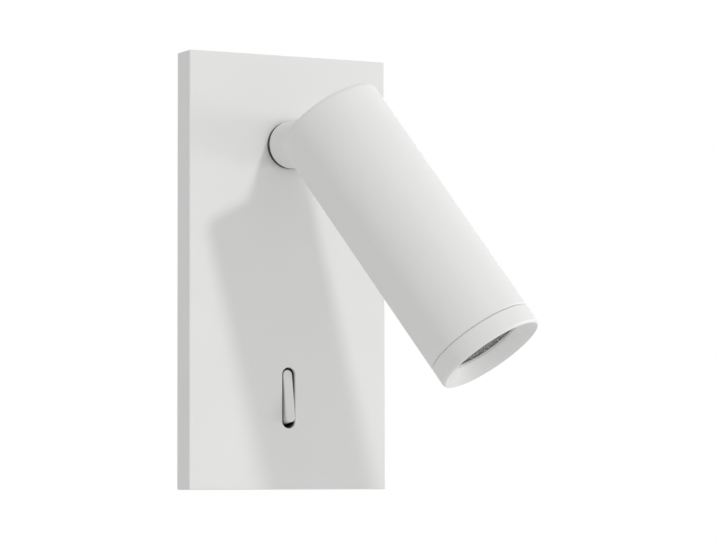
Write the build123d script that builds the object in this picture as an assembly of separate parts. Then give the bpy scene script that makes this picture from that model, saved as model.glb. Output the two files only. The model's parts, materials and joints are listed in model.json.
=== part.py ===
from build123d import *
import os
from math import cos, hypot, radians, sin, tan

# Bedside wall reading lamp, recessed back box, tilting and turning spot head, rocker switch.
# Millimetres. +X to the right, +Y into the wall, +Z up.
# The origin is the centre of the plate's back face, on the wall plane.

os.makedirs("parts", exist_ok=True)

# ---------------------------------------------------------------- driving dimensions

# Front plate
plate_width = 75.0
plate_height = 150.0
plate_depth = 10.0
plate_front_wall = 2.5
plate_side_wall = 2.5
plate_corner_radius = 0.6
plate_edge_radius = 0.5

# Recess box that goes into the wall, with a flange that lies on the wall inside the plate
box_width = 44.0
box_end_margin = 12.0
box_depth = 34.0
box_wall = 1.2
flange_side_margin = 1.0
flange_end_margin = 2.0
wall_screw_inset = 4.0
wall_screw_hole_radius = 2.25
lug_width = 24.0
lug_end_gap = 1.0
lug_wall = 1.5

# Grub screws that hold the plate to the lugs
plate_grub_radius = 1.5
plate_grub_length = 5.0
plate_grub_recess = 0.6
plate_grub_setback = 3.5

# Swivel between the plate and the neck
neck_below_top = 31.3
neck_radius = 8.1
spigot_radius = 5.0
lead_bore_radius = 2.0
front_washer_step = 0.05
front_washer_thickness = 1.5
boss_margin = 0.2
boss_length = 4.0
rear_washer_radius = 9.0
rear_washer_thickness = 0.8
spring_washer_step = 0.5
spring_washer_thickness = 0.8
stop_washer_step = 0.4
stop_washer_thickness = 1.2
stop_width = 3.0
stop_lug_gap = 0.6
stop_lug_height = 3.2
stop_lug_overhang = 0.15
stop_tab_step = 0.5
lock_nut_across_flats = 14.0
lock_nut_thickness = 3.0
spigot_overhang = 1.0

# Pose of the lamp in the photograph
pan_angle = 25.3
tilt_angle = 64.4

# Tilt hinge inside the head
pivot_reach = 39.3
tongue_width = 10.0
tongue_height = 12.0
fork_width = 4.4
fork_depth = 5.0
pivot_pocket_margin = 1.0
pivot_shoulder_radius = 2.5
pivot_thread_radius = 2.0
pivot_head_radius = 4.0
pivot_head_height = 2.5
pivot_socket = 2.5
pivot_cheek_depth = 5.0
pivot_washer_radius = 4.4
pivot_washer_thickness = 0.95
pivot_spring_thickness = 0.9
pivot_spring_radius = 4.0

# Head: a tube with a closed rear end, all distances measured ahead of the pivot
head_radius = 18.75
head_wall = 1.6
head_front = 92.1
head_rear_clearance = 0.9
head_rear_wall = 2.8
head_rear_edge_radius = 2.0
bezel_length = 7.1
seam_gap = 0.1
head_slot_clearance = 0.5
pivot_block_front = 10.0

# Screws that join the pivot block and the heat sink
block_screw_radius = 1.5
block_screw_head_radius = 2.75
block_screw_head_height = 1.8
block_screw_recess = 2.3
block_screw_grip = 5.0
block_screw_inset = 3.3
block_screw_angle = 40.6

# Heat sink
sink_base_thickness = 6.0
sink_top_thickness = 6.0
sink_core_radius = 6.5
sink_bore_radius = 2.6
sink_fin_thickness = 1.8
sink_fin_count = 8
sink_fin_inset = 0.4
shell_grub_radius = 1.5
shell_grub_length = 5.0
shell_grub_recess = 0.7

# Light source and optic
optic_length = 17.5
thermal_pad_thickness = 0.4
board_step = 0.6
board_thickness = 1.6
board_screw_radius = 1.25
board_screw_head_radius = 2.1
board_screw_head_height = 1.4
board_screw_gap = 0.7
board_screw_grip = 4.5
chip_width = 5.0
chip_height = 0.7
chip_dome_radius = 1.7
lens_rim_clearance = 0.3
lens_rim_thickness = 1.0
lens_rim_width = 2.0
lens_waist_step = 5.4
lens_rear_radius = 4.6
lens_rear_gap = 1.2
lens_cavity_radius = 2.7
lens_cavity_depth = 4.0
holder_wall = 1.3
gasket_thickness = 0.4

# Front bezel
bezel_lip_radius = 1.2
bezel_lip_width = 1.25
bezel_ledge = 1.6
bezel_cone_depth = 4.7
bezel_land = 0.5
bezel_skirt_length = 6.0
bezel_skirt_wall = 2.2

# Rocker switch
switch_above_bottom = 31.5
slot_width = 5.0
slot_length = 21.0
rocker_side_gap = 0.8
rocker_end_gap = 1.4
rocker_proud = 0.5
rocker_back = 1.6
rocker_edge_radius = 0.6
rocker_angle = 8.8
rocker_pin_radius = 0.8
rocker_barrel_wall = 0.6
rocker_barrel_gap = 0.3
rocker_foot_width = 3.4
rocker_foot_height = 4.4
rocker_foot_length = 6.8
housing_depth = 16.5
housing_wall = 1.2
housing_side_wall = 1.9
housing_side_room = 1.65
housing_end_room = 1.0
housing_ear_end = 3.5
housing_ear_thickness = 1.5
collar_recess = 0.3
collar_wall = 0.35
collar_bridge_length = 2.9
collar_bridge_thickness = 1.2
switch_boss_radius = 2.3
switch_boss_gap = 0.1
switch_boss_length = 3.0
switch_screw_radius = 1.1
switch_screw_head_radius = 2.0
switch_screw_head_height = 1.4
switch_screw_grip = 2.6
plunger_radius = 1.15
plunger_length = 4.0
plunger_reach = 8.8
spring_wall = 0.3
spring_length = 2.2
seesaw_length = 10.0
seesaw_width = 3.0
seesaw_thickness = 0.6
seesaw_bead_radius = 0.3
seesaw_gap = 0.4
fulcrum_gap = 0.15
seesaw_angle = 6.16
terminal_width = 3.0
terminal_thickness = 1.0
terminal_pitch = 4.5
terminal_tail = 6.0

# Terminal block for the wall cable
block_side_wall = 2.5
block_end_wall = 2.0
block_depth = 13.0
block_below_top = 18.5
clamp_width = 5.0
clamp_length = 13.0
clamp_wire_radius = 1.6
clamp_screw_radius = 1.4
clamp_screw_inset = 3.0
clamp_screw_sink = 0.8
clamp_depth = 7.2
driver_slot_width = 0.5
driver_slot_depth = 0.6
block_fixing_radius = 1.25
block_fixing_wall = 0.25
block_fixing_head_radius = 2.2
block_fixing_head_height = 1.4

# Cable grommet in the top wall of the recess box
grommet_side_gap = 1.4
grommet_depth = 12.0
grommet_bore_radius = 4.0
grommet_neck_radius = 6.5
grommet_flange_radius = 8.4
grommet_flange_thickness = 1.6

# Earth screw and the tag of the earth lead
earth_inset = 8.0
earth_below_driver = 16.0
earth_screw_radius = 2.0
earth_head_radius = 3.5
earth_head_height = 2.4
earth_washer_radius = 4.5
earth_washer_thickness = 1.0
earth_tag_radius = 4.0
earth_tag_width = 3.0
earth_tag_thickness = 0.8

# LED driver
driver_side_room = 2.8
driver_length = 44.0
driver_block_gap = 7.0
driver_depth = 20.8
driver_lid_depth = 12.0
driver_wall = 1.5
driver_ear_length = 5.0
driver_ear_thickness = 1.8
driver_screw_radius = 1.5
driver_screw_head_radius = 2.4
driver_screw_head_height = 1.8
driver_board_margin = 0.5
driver_board_thickness = 1.6
driver_post_radius = 1.5
driver_post_height = 1.4
transformer_width = 14.0
transformer_length = 16.0
transformer_height = 11.0
transformer_inset = 11.0
transformer_rise = 4.0
capacitor_radius = 4.0
capacitor_height = 10.0
capacitor_inset = 10.0
capacitor_spacing = 14.0

# Leads
lead_radius = 1.3
wire_radius = 0.9
lead_bend_radius = 5.0
lead_inset = 4.0
wire_bend_radius = 4.0
wire_pitch = 3.6
arc_share = 0.99
earth_lead_drop = 4.5
pivot_lead_start = 3.5

# Clearances
turning_clearance = 0.08
running_clearance = 0.05
screw_clearance = 0.1
fit_clearance = 0.05
sweep_clearance = 0.5
lead_gap = 0.3

# ---------------------------------------------------------------- worked out from the above

plate_front = -plate_depth
plate_inside = plate_front + plate_front_wall
cavity_width = plate_width - 2 * plate_side_wall
cavity_height = plate_height - 2 * plate_side_wall
box_back = box_depth - box_wall
flange_width = cavity_width - 2 * flange_side_margin
flange_height = cavity_height - 2 * flange_end_margin
wall_screw_spacing = flange_width - 2 * wall_screw_inset
box_height = plate_height - 2 * box_end_margin
lug_front = plate_inside + lug_end_gap
plate_grub_y = plate_inside + plate_grub_setback

neck_height = plate_height / 2 - neck_below_top
front_washer_radius = neck_radius - front_washer_step
spring_washer_radius = rear_washer_radius - spring_washer_step
stop_washer_radius = rear_washer_radius - stop_washer_step
stop_lug_inner_radius = rear_washer_radius + stop_lug_gap
stop_lug_outer_radius = stop_lug_inner_radius + stop_lug_height
stop_tab_radius = stop_lug_outer_radius - stop_tab_step
boss_radius = stop_lug_outer_radius + boss_margin
boss_back = plate_inside + boss_length
neck_rear = plate_front - front_washer_thickness - running_clearance
pivot_depth = plate_front - pivot_reach
head_rear_overhang = head_rear_wall + pivot_head_radius + head_rear_clearance
shoulder_reach = hypot(head_radius, head_rear_overhang) + sweep_clearance
rear_washer_start = boss_back + running_clearance
spring_washer_start = rear_washer_start + rear_washer_thickness
stop_washer_start = spring_washer_start + spring_washer_thickness
lock_nut_start = stop_washer_start + stop_washer_thickness
spigot_end = lock_nut_start + lock_nut_thickness + spigot_overhang

tongue_end_radius = tongue_height / 2
pocket_reach = tongue_end_radius + pivot_pocket_margin
cheek_face = tongue_width / 2 + running_clearance + pivot_washer_thickness
cheek_back = cheek_face + pivot_cheek_depth
pivot_head_seat = cheek_back + pivot_spring_thickness

shell_bore = head_radius - head_wall
inner_radius = shell_bore - fit_clearance
slot_half_width = tongue_width / 2 + head_slot_clearance
slot_reach = tongue_end_radius + head_slot_clearance
block_rear = head_rear_wall - head_rear_overhang
block_screw_circle = inner_radius - block_screw_inset

head_seam = head_front - bezel_length
bezel_mouth_radius = head_radius - bezel_lip_width
skirt_inner_radius = inner_radius - bezel_skirt_wall
lens_rim_radius = skirt_inner_radius - lens_rim_clearance
lens_face_radius = lens_rim_radius - lens_rim_width
lens_waist_radius = lens_rim_radius - lens_waist_step
bezel_cone_radius = lens_rim_radius - bezel_ledge
board_radius = lens_rim_radius - board_step
board_screw_place = lens_rim_radius - holder_wall - board_screw_head_radius - board_screw_gap
cone_back = head_front - bezel_cone_depth
lens_front = cone_back - bezel_land - gasket_thickness
rim_back = lens_front - lens_rim_thickness
skirt_back = head_seam - bezel_skirt_length
sink_base_front = lens_front - optic_length
sink_top_back = pivot_block_front + sink_top_thickness
sink_base_back = sink_base_front - sink_base_thickness
board_back = sink_base_front + thermal_pad_thickness
board_front = board_back + board_thickness

switch_height = switch_above_bottom - plate_height / 2
rocker_width = slot_width - 2 * rocker_side_gap
rocker_length = slot_length - 2 * rocker_end_gap
rocker_barrel_radius = rocker_pin_radius + rocker_barrel_wall
rocker_pin_depth = plate_front_wall + rocker_barrel_gap + rocker_barrel_radius
rocker_pivot = plate_front + rocker_pin_depth
housing_front = plate_inside + 2 * screw_clearance
housing_back = housing_front + housing_depth
housing_floor = housing_back - housing_wall
housing_cavity_width = rocker_width + 2 * housing_side_room
housing_cavity_height = slot_length + 2 * housing_end_room
housing_width = housing_cavity_width + 2 * housing_side_wall
housing_height = housing_cavity_height + 2 * housing_wall
housing_screw_spacing = housing_height + 2 * (switch_boss_radius + switch_boss_gap)
housing_ear_height = housing_screw_spacing + 2 * housing_ear_end
switch_boss_back = plate_inside + switch_boss_length
collar_front = plate_front + collar_recess
collar_width = slot_width - 2 * fit_clearance
collar_length = slot_length - 2 * fit_clearance
collar_bridge_back = housing_front + collar_bridge_thickness
seesaw_pivot = rocker_pivot + plunger_reach + seesaw_gap + seesaw_thickness
terminal_end = housing_back + terminal_tail

pole_pitch = clamp_width + 2 * (block_fixing_radius + block_fixing_wall)
block_width = 2 * pole_pitch + clamp_width + 2 * block_side_wall
block_length = clamp_length + 2 * block_end_wall
block_centre = box_height / 2 - block_below_top
block_bottom = block_centre - block_length / 2
block_front = box_back - block_depth
clamp_centre = block_front + clamp_depth
grommet_x = grommet_flange_radius + grommet_side_gap + box_wall - box_width / 2

driver_width = box_width - 2 * (box_wall + driver_side_room)
driver_centre = block_bottom - driver_block_gap - driver_ear_length - driver_length / 2
driver_front = box_back - driver_depth
driver_split = driver_front + driver_lid_depth
driver_top = driver_centre + driver_length / 2
driver_bottom = driver_centre - driver_length / 2
driver_board_back = box_back - driver_ear_thickness - driver_post_height
driver_board_front = driver_board_back - driver_board_thickness
transformer_x = transformer_inset - driver_width / 2
transformer_z = driver_centre + transformer_rise
capacitor_x = driver_width / 2 - capacitor_inset
earth_x = box_width / 2 - earth_inset
earth_z = driver_bottom - earth_below_driver
earth_tag_back = box_back - earth_washer_thickness
earth_tag_front = earth_tag_back - earth_tag_thickness


# ---------------------------------------------------------------- helpers

centred_base = (Align.CENTER, Align.CENTER, Align.MIN)


def span(x_low, x_high, y_low, y_high, z_low, z_high):
    """A box between two limits on each axis."""
    corner = (Align.MIN, Align.MIN, Align.MIN)
    return Pos(x_low, y_low, z_low) * Box(x_high - x_low, y_high - y_low, z_high - z_low, align=corner)


def rod_x(radius, low, high, y=0, z=0):
    """A cylinder along X."""
    return Pos(low, y, z) * Rot(Y=90) * Cylinder(radius, high - low, align=centred_base)


def rod_y(radius, low, high, x=0, z=0):
    """A cylinder along Y."""
    return Pos(x, low, z) * Rot(X=-90) * Cylinder(radius, high - low, align=centred_base)


def rod_z(radius, low, high, x=0, y=0):
    """A cylinder along Z."""
    return Pos(x, y, low) * Cylinder(radius, high - low, align=centred_base)


def ring_y(outer, inner, low, high, x=0, z=0):
    """A washer along Y."""
    return rod_y(outer, low, high, x, z) - rod_y(inner, low, high, x, z)


def ring_z(outer, inner, low, high):
    """A washer along Z, round the origin."""
    return rod_z(outer, low, high) - rod_z(inner, low, high)


def turned(*points):
    """A solid of revolution about Z, from points of radius and height."""
    return revolve(Plane.XZ * Polygon(*points, align=None), Axis.Z)


def hexagon(across_flats, low, high):
    """A hexagonal prism along Z."""
    outline = RegularPolygon(across_flats / 2, 6, major_radius=False)
    return Pos(0, 0, low) * extrude(outline, high - low)


def headed_screw(radius, grip, top_radius, top_height, socket):
    """A screw along Z, with its head above the origin and a hexagon socket in the head."""
    body = rod_z(radius, -grip, 0) + rod_z(top_radius, 0, top_height)
    return body - hexagon(socket, top_height / 2, top_height)


def grub_screw(radius, length):
    """A headless screw along Z, with its socket at the top and its top at the origin."""
    return rod_z(radius, -length, 0) - hexagon(radius, -radius, 0)


def pill_y(width, length, low, high, z):
    """A slot shape with round ends, upright in X and Z, along Y."""
    half = (length - width) / 2
    middle = span(-width / 2, width / 2, low, high, z - half, z + half)
    return middle + rod_y(width / 2, low, high, 0, z + half) + rod_y(width / 2, low, high, 0, z - half)


def wire(radius, bend, *points):
    """A round wire along straight runs joined by arcs."""
    path = FilletPolyline(*points, radius=bend)
    start = Plane(origin=path @ 0, z_dir=path % 0)
    return sweep(start * Circle(radius), path=path)


def save(name, *solids):
    """Writes one node, of one or more separate solids."""
    shape = solids[0] if len(solids) == 1 else Compound(children=list(solids))
    export_step(shape, "parts/" + name + ".step")


# ---------------------------------------------------------------- placing the moving bodies

neck_turn = Pos(0, 0, neck_height) * Rot(Y=-pan_angle) * Pos(0, 0, -neck_height)
head_place = Pos(0, pivot_depth, neck_height) * Rot(Y=-pan_angle) * Rot(X=90 + tilt_angle)
rocker_turn = Pos(0, rocker_pivot, switch_height) * Rot(X=-rocker_angle)
seesaw_turn = Pos(0, seesaw_pivot, switch_height) * Rot(X=seesaw_angle)


# ---------------------------------------------------------------- front plate

def make_front_plate():
    """The cast tray that covers the box, with the swivel boss, the slot and the screw posts."""
    half_w = plate_width / 2
    half_h = plate_height / 2
    plate = span(-half_w, half_w, plate_front, 0, -half_h, half_h)
    plate = fillet(plate.edges().filter_by(Axis.Y), plate_corner_radius)
    plate = fillet(plate.faces().sort_by(Axis.Y)[0].edges(), plate_edge_radius)
    plate -= span(
        -cavity_width / 2, cavity_width / 2, plate_inside, 0, -cavity_height / 2, cavity_height / 2
    )
    # Swivel boss and its stop lug, which stands below the neck
    plate += rod_y(boss_radius, plate_inside, boss_back, 0, neck_height)
    plate += span(
        -stop_width / 2,
        stop_width / 2,
        boss_back,
        lock_nut_start + stop_lug_overhang,
        neck_height - stop_lug_outer_radius,
        neck_height - stop_lug_inner_radius,
    )
    plate -= rod_y(spigot_radius + turning_clearance, plate_front, boss_back, 0, neck_height)
    # Switch slot, and the two posts that carry the switch
    plate -= pill_y(slot_width, slot_length, plate_front, plate_inside, switch_height)
    for side in (-1, 1):
        post_z = switch_height + side * housing_screw_spacing / 2
        plate += rod_y(switch_boss_radius, plate_inside, switch_boss_back, 0, post_z)
        plate -= rod_y(
            switch_screw_radius, switch_boss_back - switch_screw_grip, switch_boss_back, 0, post_z
        )
    # Holes for the grub screws in the top and bottom edges
    hole = plate_grub_radius + screw_clearance
    for low, high in ((-half_h, -cavity_height / 2), (cavity_height / 2, half_h)):
        plate -= rod_z(hole, low, high, 0, plate_grub_y)
    return plate


save("front_plate", make_front_plate())


def make_plate_grub_screws():
    """One grub screw in the top edge and one in the bottom edge."""
    top = plate_height / 2 - plate_grub_recess
    screw = grub_screw(plate_grub_radius, plate_grub_length)
    upper = Pos(0, plate_grub_y, top) * screw
    lower = Pos(0, plate_grub_y, -top) * Rot(X=180) * screw
    return upper, lower


save("plate_grub_screws", *make_plate_grub_screws())


# ---------------------------------------------------------------- recess box

def make_recess_box():
    """The open steel box in the wall, with its flange and the two lugs for the plate."""
    half_w = box_width / 2
    half_h = box_height / 2
    body = span(-half_w, half_w, -box_wall, box_depth, -half_h, half_h)
    half_fw = flange_width / 2
    half_fh = flange_height / 2
    box = body + span(-half_fw, half_fw, -box_wall, 0, -half_fh, half_fh)
    box -= span(
        -half_w + box_wall, half_w - box_wall, -box_wall, box_back, -half_h + box_wall, half_h - box_wall
    )
    for side in (-1, 1):
        # Lug for the grub screw
        outer = side * half_fh
        inner = outer - side * lug_wall
        low, high = min(inner, outer), max(inner, outer)
        box += span(-lug_width / 2, lug_width / 2, lug_front, -box_wall, low, high)
        box -= rod_z(plate_grub_radius, low, high, 0, plate_grub_y)
        # Hole for the wall screw
        box -= rod_y(wall_screw_hole_radius, -box_wall, 0, side * wall_screw_spacing / 2, 0)
    # Hole for the cable grommet in the top wall
    box -= rod_z(grommet_neck_radius, half_h - box_wall, half_h, grommet_x, grommet_depth)
    # Tapped holes in the back wall
    box -= rod_y(earth_screw_radius, box_back, box_depth, earth_x, earth_z)
    for side in (-1, 1):
        box -= rod_y(driver_screw_radius, box_back, box_depth, 0, driver_screw_z(side))
        box -= rod_y(block_fixing_radius, box_back, box_depth, side * pole_pitch / 2, block_centre)
    return box


def driver_screw_z(side):
    """Height of the driver's fixing screw at its upper or lower ear."""
    return driver_centre + side * (driver_length + driver_ear_length) / 2


save("recess_box", make_recess_box())


def make_cable_grommet():
    """A rubber grommet that grips the edge of its hole."""
    top = box_height / 2
    inside = top - box_wall
    grommet = rod_z(grommet_neck_radius, inside, top)
    grommet += rod_z(grommet_flange_radius, top, top + grommet_flange_thickness)
    grommet += rod_z(grommet_flange_radius, inside - grommet_flange_thickness, inside)
    grommet -= rod_z(grommet_bore_radius, inside - grommet_flange_thickness, top + grommet_flange_thickness)
    return Pos(grommet_x, grommet_depth, 0) * grommet


save("cable_grommet", make_cable_grommet())


# ---------------------------------------------------------------- terminal block

def pole_places():
    """The X of each pole of the terminal block."""
    return [-pole_pitch, 0, pole_pitch]


def clamp_screw_places():
    """The Z of the two screws in each clamp."""
    reach = clamp_length / 2 - clamp_screw_inset
    return [block_centre - reach, block_centre + reach]


def make_terminal_block():
    """The insulating body, with a passage for each clamp and wells for the screws."""
    top = block_bottom + block_length
    body = span(-block_width / 2, block_width / 2, block_front, box_back, block_bottom, top)
    passage = clamp_width / 2 + running_clearance
    low_y, high_y = clamp_centre - passage, clamp_centre + passage
    for x in pole_places():
        body -= span(x - passage, x + passage, low_y, high_y, block_bottom, top)
        for z in clamp_screw_places():
            body -= rod_y(clamp_screw_radius + screw_clearance, block_front, clamp_centre, x, z)
    for side in (-1, 1):
        x = side * pole_pitch / 2
        body -= rod_y(block_fixing_radius + screw_clearance, block_front, box_back, x, block_centre)
    return body


def make_terminal_clamps():
    """A brass clamp in each pole."""
    clamps = []
    half = clamp_width / 2
    low_z = block_centre - clamp_length / 2
    high_z = block_centre + clamp_length / 2
    for x in pole_places():
        clamp = span(x - half, x + half, clamp_centre - half, clamp_centre + half, low_z, high_z)
        clamp -= rod_z(clamp_wire_radius, low_z, high_z, x, clamp_centre)
        for z in clamp_screw_places():
            clamp -= rod_y(clamp_screw_radius, clamp_centre - half, clamp_centre, x, z)
        clamps.append(clamp)
    return clamps


def make_terminal_screws():
    """Two clamp screws in each pole, with a slot for the screwdriver."""
    screws = []
    top = block_front + clamp_screw_sink
    tip = clamp_centre - wire_radius - running_clearance
    for x in pole_places():
        for z in clamp_screw_places():
            screw = rod_y(clamp_screw_radius, top, tip, x, z)
            half = driver_slot_width / 2
            left = x - clamp_screw_radius
            right = x + clamp_screw_radius
            slot = span(left, right, top, top + driver_slot_depth, z - half, z + half)
            screws.append(screw - slot)
    return screws


def make_terminal_block_screws():
    """The two screws between the poles that fix the block to the box."""
    length = box_depth - block_front
    screw = headed_screw(
        block_fixing_radius, length, block_fixing_head_radius, block_fixing_head_height, block_fixing_radius
    )
    return [
        Pos(side * pole_pitch / 2, block_front, block_centre) * Rot(X=90) * screw for side in (-1, 1)
    ]


save("terminal_block", make_terminal_block())
save("terminal_clamps", *make_terminal_clamps())
save("terminal_screws", *make_terminal_screws())
save("terminal_block_screws", *make_terminal_block_screws())


# ---------------------------------------------------------------- earth screw

def make_earth_screw():
    """The earth screw in the back wall of the box, through its washer and the tag."""
    grip = box_depth - earth_tag_front
    screw = headed_screw(
        earth_screw_radius, grip, earth_head_radius, earth_head_height, earth_screw_radius
    )
    return Pos(earth_x, earth_tag_front, earth_z) * Rot(X=90) * screw


def make_earth_washer():
    """The washer under the tag of the earth lead."""
    inner = earth_screw_radius + screw_clearance
    return ring_y(earth_washer_radius, inner, earth_tag_back, box_back, earth_x, earth_z)


save("earth_screw", make_earth_screw())
save("earth_washer", make_earth_washer())


# ---------------------------------------------------------------- LED driver

def make_driver_base():
    """The rear half of the driver's case, with two ears and four posts for its board."""
    half = driver_width / 2
    base = span(-half, half, driver_split, box_back, driver_bottom, driver_top)
    floor = box_back - driver_ear_thickness
    base -= span(
        -half + driver_wall,
        half - driver_wall,
        driver_split,
        floor,
        driver_bottom + driver_wall,
        driver_top - driver_wall,
    )
    ears_bottom = driver_bottom - driver_ear_length
    ears_top = driver_top + driver_ear_length
    base += span(-half, half, floor, box_back, ears_bottom, ears_top)
    for side in (-1, 1):
        base -= rod_y(driver_screw_radius + screw_clearance, floor, box_back, 0, driver_screw_z(side))
        for end in (driver_bottom, driver_top):
            inward = 2 * driver_wall + driver_post_radius
            z = end + inward if end == driver_bottom else end - inward
            base += rod_y(driver_post_radius, driver_board_back, floor, side * (half - inward), z)
    return base


def make_driver_lid():
    """The front half of the driver's case."""
    half = driver_width / 2
    lid = span(-half, half, driver_front, driver_split, driver_bottom, driver_top)
    lid -= span(
        -half + driver_wall,
        half - driver_wall,
        driver_front + driver_wall,
        driver_split,
        driver_bottom + driver_wall,
        driver_top - driver_wall,
    )
    return lid


def make_driver_board():
    """The circuit board on its posts."""
    half = driver_width / 2 - driver_wall - driver_board_margin
    low_z = driver_bottom + driver_wall + driver_board_margin
    high_z = driver_top - driver_wall - driver_board_margin
    return span(-half, half, driver_board_front, driver_board_back, low_z, high_z)


def make_driver_transformer():
    """The transformer: a bobbin across a square core."""
    half_w = transformer_width / 2
    half_l = transformer_length / 2
    top = driver_board_front - transformer_height
    core = span(
        transformer_x - half_w,
        transformer_x + half_w,
        top,
        driver_board_front,
        transformer_z - half_l / 2,
        transformer_z + half_l / 2,
    )
    bobbin = span(
        transformer_x - half_w / 2,
        transformer_x + half_w / 2,
        top + driver_wall,
        driver_board_front,
        transformer_z - half_l,
        transformer_z + half_l,
    )
    return core + bobbin


def make_driver_capacitors():
    """Two upright capacitors."""
    top = driver_board_front - capacitor_height
    places = [driver_centre + side * capacitor_spacing / 2 for side in (-1, 1)]
    return [rod_y(capacitor_radius, top, driver_board_front, capacitor_x, z) for z in places]


def make_driver_screws():
    """One screw through each ear of the driver."""
    seat = box_back - driver_ear_thickness
    screw = headed_screw(
        driver_screw_radius,
        box_depth - seat,
        driver_screw_head_radius,
        driver_screw_head_height,
        driver_screw_radius,
    )
    return [Pos(0, seat, driver_screw_z(side)) * Rot(X=90) * screw for side in (-1, 1)]


save("driver_base", make_driver_base())
save("driver_lid", make_driver_lid())
save("driver_board", make_driver_board())
save("driver_transformer", make_driver_transformer())
save("driver_capacitors", *make_driver_capacitors())
save("driver_screws", *make_driver_screws())


# ---------------------------------------------------------------- rocker switch

def make_switch_housing():
    """The switch body behind the plate, with an ear at each end and a collar that lines the slot."""
    half_w = housing_width / 2
    half_h = housing_height / 2
    housing = span(
        -half_w, half_w, housing_front, housing_back, switch_height - half_h, switch_height + half_h
    )
    housing += span(
        -half_w,
        half_w,
        switch_boss_back,
        switch_boss_back + housing_ear_thickness,
        switch_height - housing_ear_height / 2,
        switch_height + housing_ear_height / 2,
    )
    housing -= span(
        -housing_cavity_width / 2,
        housing_cavity_width / 2,
        housing_front,
        housing_floor,
        switch_height - housing_cavity_height / 2,
        switch_height + housing_cavity_height / 2,
    )
    # The collar, carried by a bridge at each end of the body
    for side in (-1, 1):
        outer = switch_height + side * housing_cavity_height / 2
        inner = outer - side * collar_bridge_length
        housing += span(
            -housing_cavity_width / 2,
            housing_cavity_width / 2,
            housing_front,
            collar_bridge_back,
            min(inner, outer),
            max(inner, outer),
        )
    housing += pill_y(collar_width, collar_length, collar_front, housing_front, switch_height)
    housing -= pill_y(
        collar_width - 2 * collar_wall,
        collar_length - 2 * collar_wall,
        collar_front,
        collar_bridge_back,
        switch_height,
    )
    housing -= rod_x(rocker_pin_radius, -half_w, half_w, rocker_pivot, switch_height)
    for side in (-1, 1):
        housing -= rod_y(
            switch_screw_radius + screw_clearance,
            switch_boss_back,
            switch_boss_back + housing_ear_thickness,
            0,
            switch_height + side * housing_screw_spacing / 2,
        )
    for z in terminal_places():
        housing -= terminal_bar(z, housing_floor, housing_back)
    return housing


def terminal_places():
    """The Z of the common terminal, in the middle, and of the switched one below it."""
    return [switch_height, switch_height - terminal_pitch]


def terminal_bar(z, low, high):
    """A flat terminal along Y."""
    half_w = terminal_width / 2
    half_t = terminal_thickness / 2
    return span(-half_w, half_w, low, high, z - half_t, z + half_t)


def make_switch_terminals():
    """The common terminal, with a groove that carries the seesaw, and the contact that it meets."""
    common, switched = terminal_places()
    drop = terminal_pitch * sin(radians(seesaw_angle))
    half_w = terminal_width / 2
    fulcrum = terminal_bar(common, seesaw_pivot + fulcrum_gap, terminal_end)
    fulcrum -= rod_x(seesaw_bead_radius + running_clearance, -half_w, half_w, seesaw_pivot, common)
    contact = terminal_bar(switched, seesaw_pivot + drop + lead_gap, terminal_end)
    return fulcrum, contact


def make_switch_screws():
    """The screws that hold the switch to the posts of the plate."""
    screw = headed_screw(
        switch_screw_radius,
        switch_screw_grip + housing_ear_thickness,
        switch_screw_head_radius,
        switch_screw_head_height,
        switch_screw_radius,
    )
    seat = switch_boss_back + housing_ear_thickness
    return [
        Pos(0, seat, switch_height + side * housing_screw_spacing / 2) * Rot(X=-90) * screw
        for side in (-1, 1)
    ]


def make_switch_pin():
    """The pin that the rocker turns on."""
    return rod_x(rocker_pin_radius, -housing_width / 2, housing_width / 2, rocker_pivot, switch_height)


def make_switch_rocker():
    """The button: a pill with soft edges, its barrel round the pin, and a foot for the plunger."""
    face = -rocker_pin_depth - rocker_proud
    button = pill_y(rocker_width, rocker_length, face, rocker_back, 0)
    button = fillet(button.faces().sort_by(Axis.Y)[0].edges(), rocker_edge_radius)
    half_barrel = housing_cavity_width / 2 - 4 * running_clearance
    rocker = button + rod_x(rocker_barrel_radius, -half_barrel, half_barrel)
    rocker += span(
        -rocker_foot_width / 2,
        rocker_foot_width / 2,
        0,
        rocker_foot_length,
        -rocker_foot_height / 2,
        rocker_foot_height / 2,
    )
    rocker -= rod_x(rocker_pin_radius + running_clearance, -half_barrel, half_barrel)
    rocker -= rod_y(plunger_radius + running_clearance, plunger_well(), rocker_foot_length)
    return rocker_turn * rocker


def plunger_well():
    """The depth of the bottom of the plunger's well, behind the rocker's pin."""
    return plunger_reach - plunger_length - spring_length


def make_switch_plunger():
    """The round-ended plunger in the rocker's foot."""
    tip_centre = plunger_reach - plunger_radius
    plunger = rod_y(plunger_radius, plunger_reach - plunger_length, tip_centre)
    plunger += Pos(0, tip_centre, 0) * Sphere(plunger_radius)
    return rocker_turn * plunger


def make_plunger_spring():
    """The spring behind the plunger, as a sleeve of its outer size."""
    low = plunger_well()
    return rocker_turn * ring_y(plunger_radius, plunger_radius - spring_wall, low, low + spring_length)


def make_contact_seesaw():
    """The seesaw contact that the plunger tips over, with the bead that it rocks on."""
    half_w = seesaw_width / 2
    half_l = seesaw_length / 2
    strip = span(-half_w, half_w, -seesaw_thickness, 0, -half_l, half_l)
    return seesaw_turn * (strip + rod_x(seesaw_bead_radius, -half_w, half_w))


save("switch_housing", make_switch_housing())
save("switch_terminals", *make_switch_terminals())
save("switch_screws", *make_switch_screws())
save("switch_pin", make_switch_pin())
save("switch_rocker", make_switch_rocker())
save("switch_plunger", make_switch_plunger())
save("plunger_spring", make_plunger_spring())
save("contact_seesaw", make_contact_seesaw())


# ---------------------------------------------------------------- neck and swivel

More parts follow.
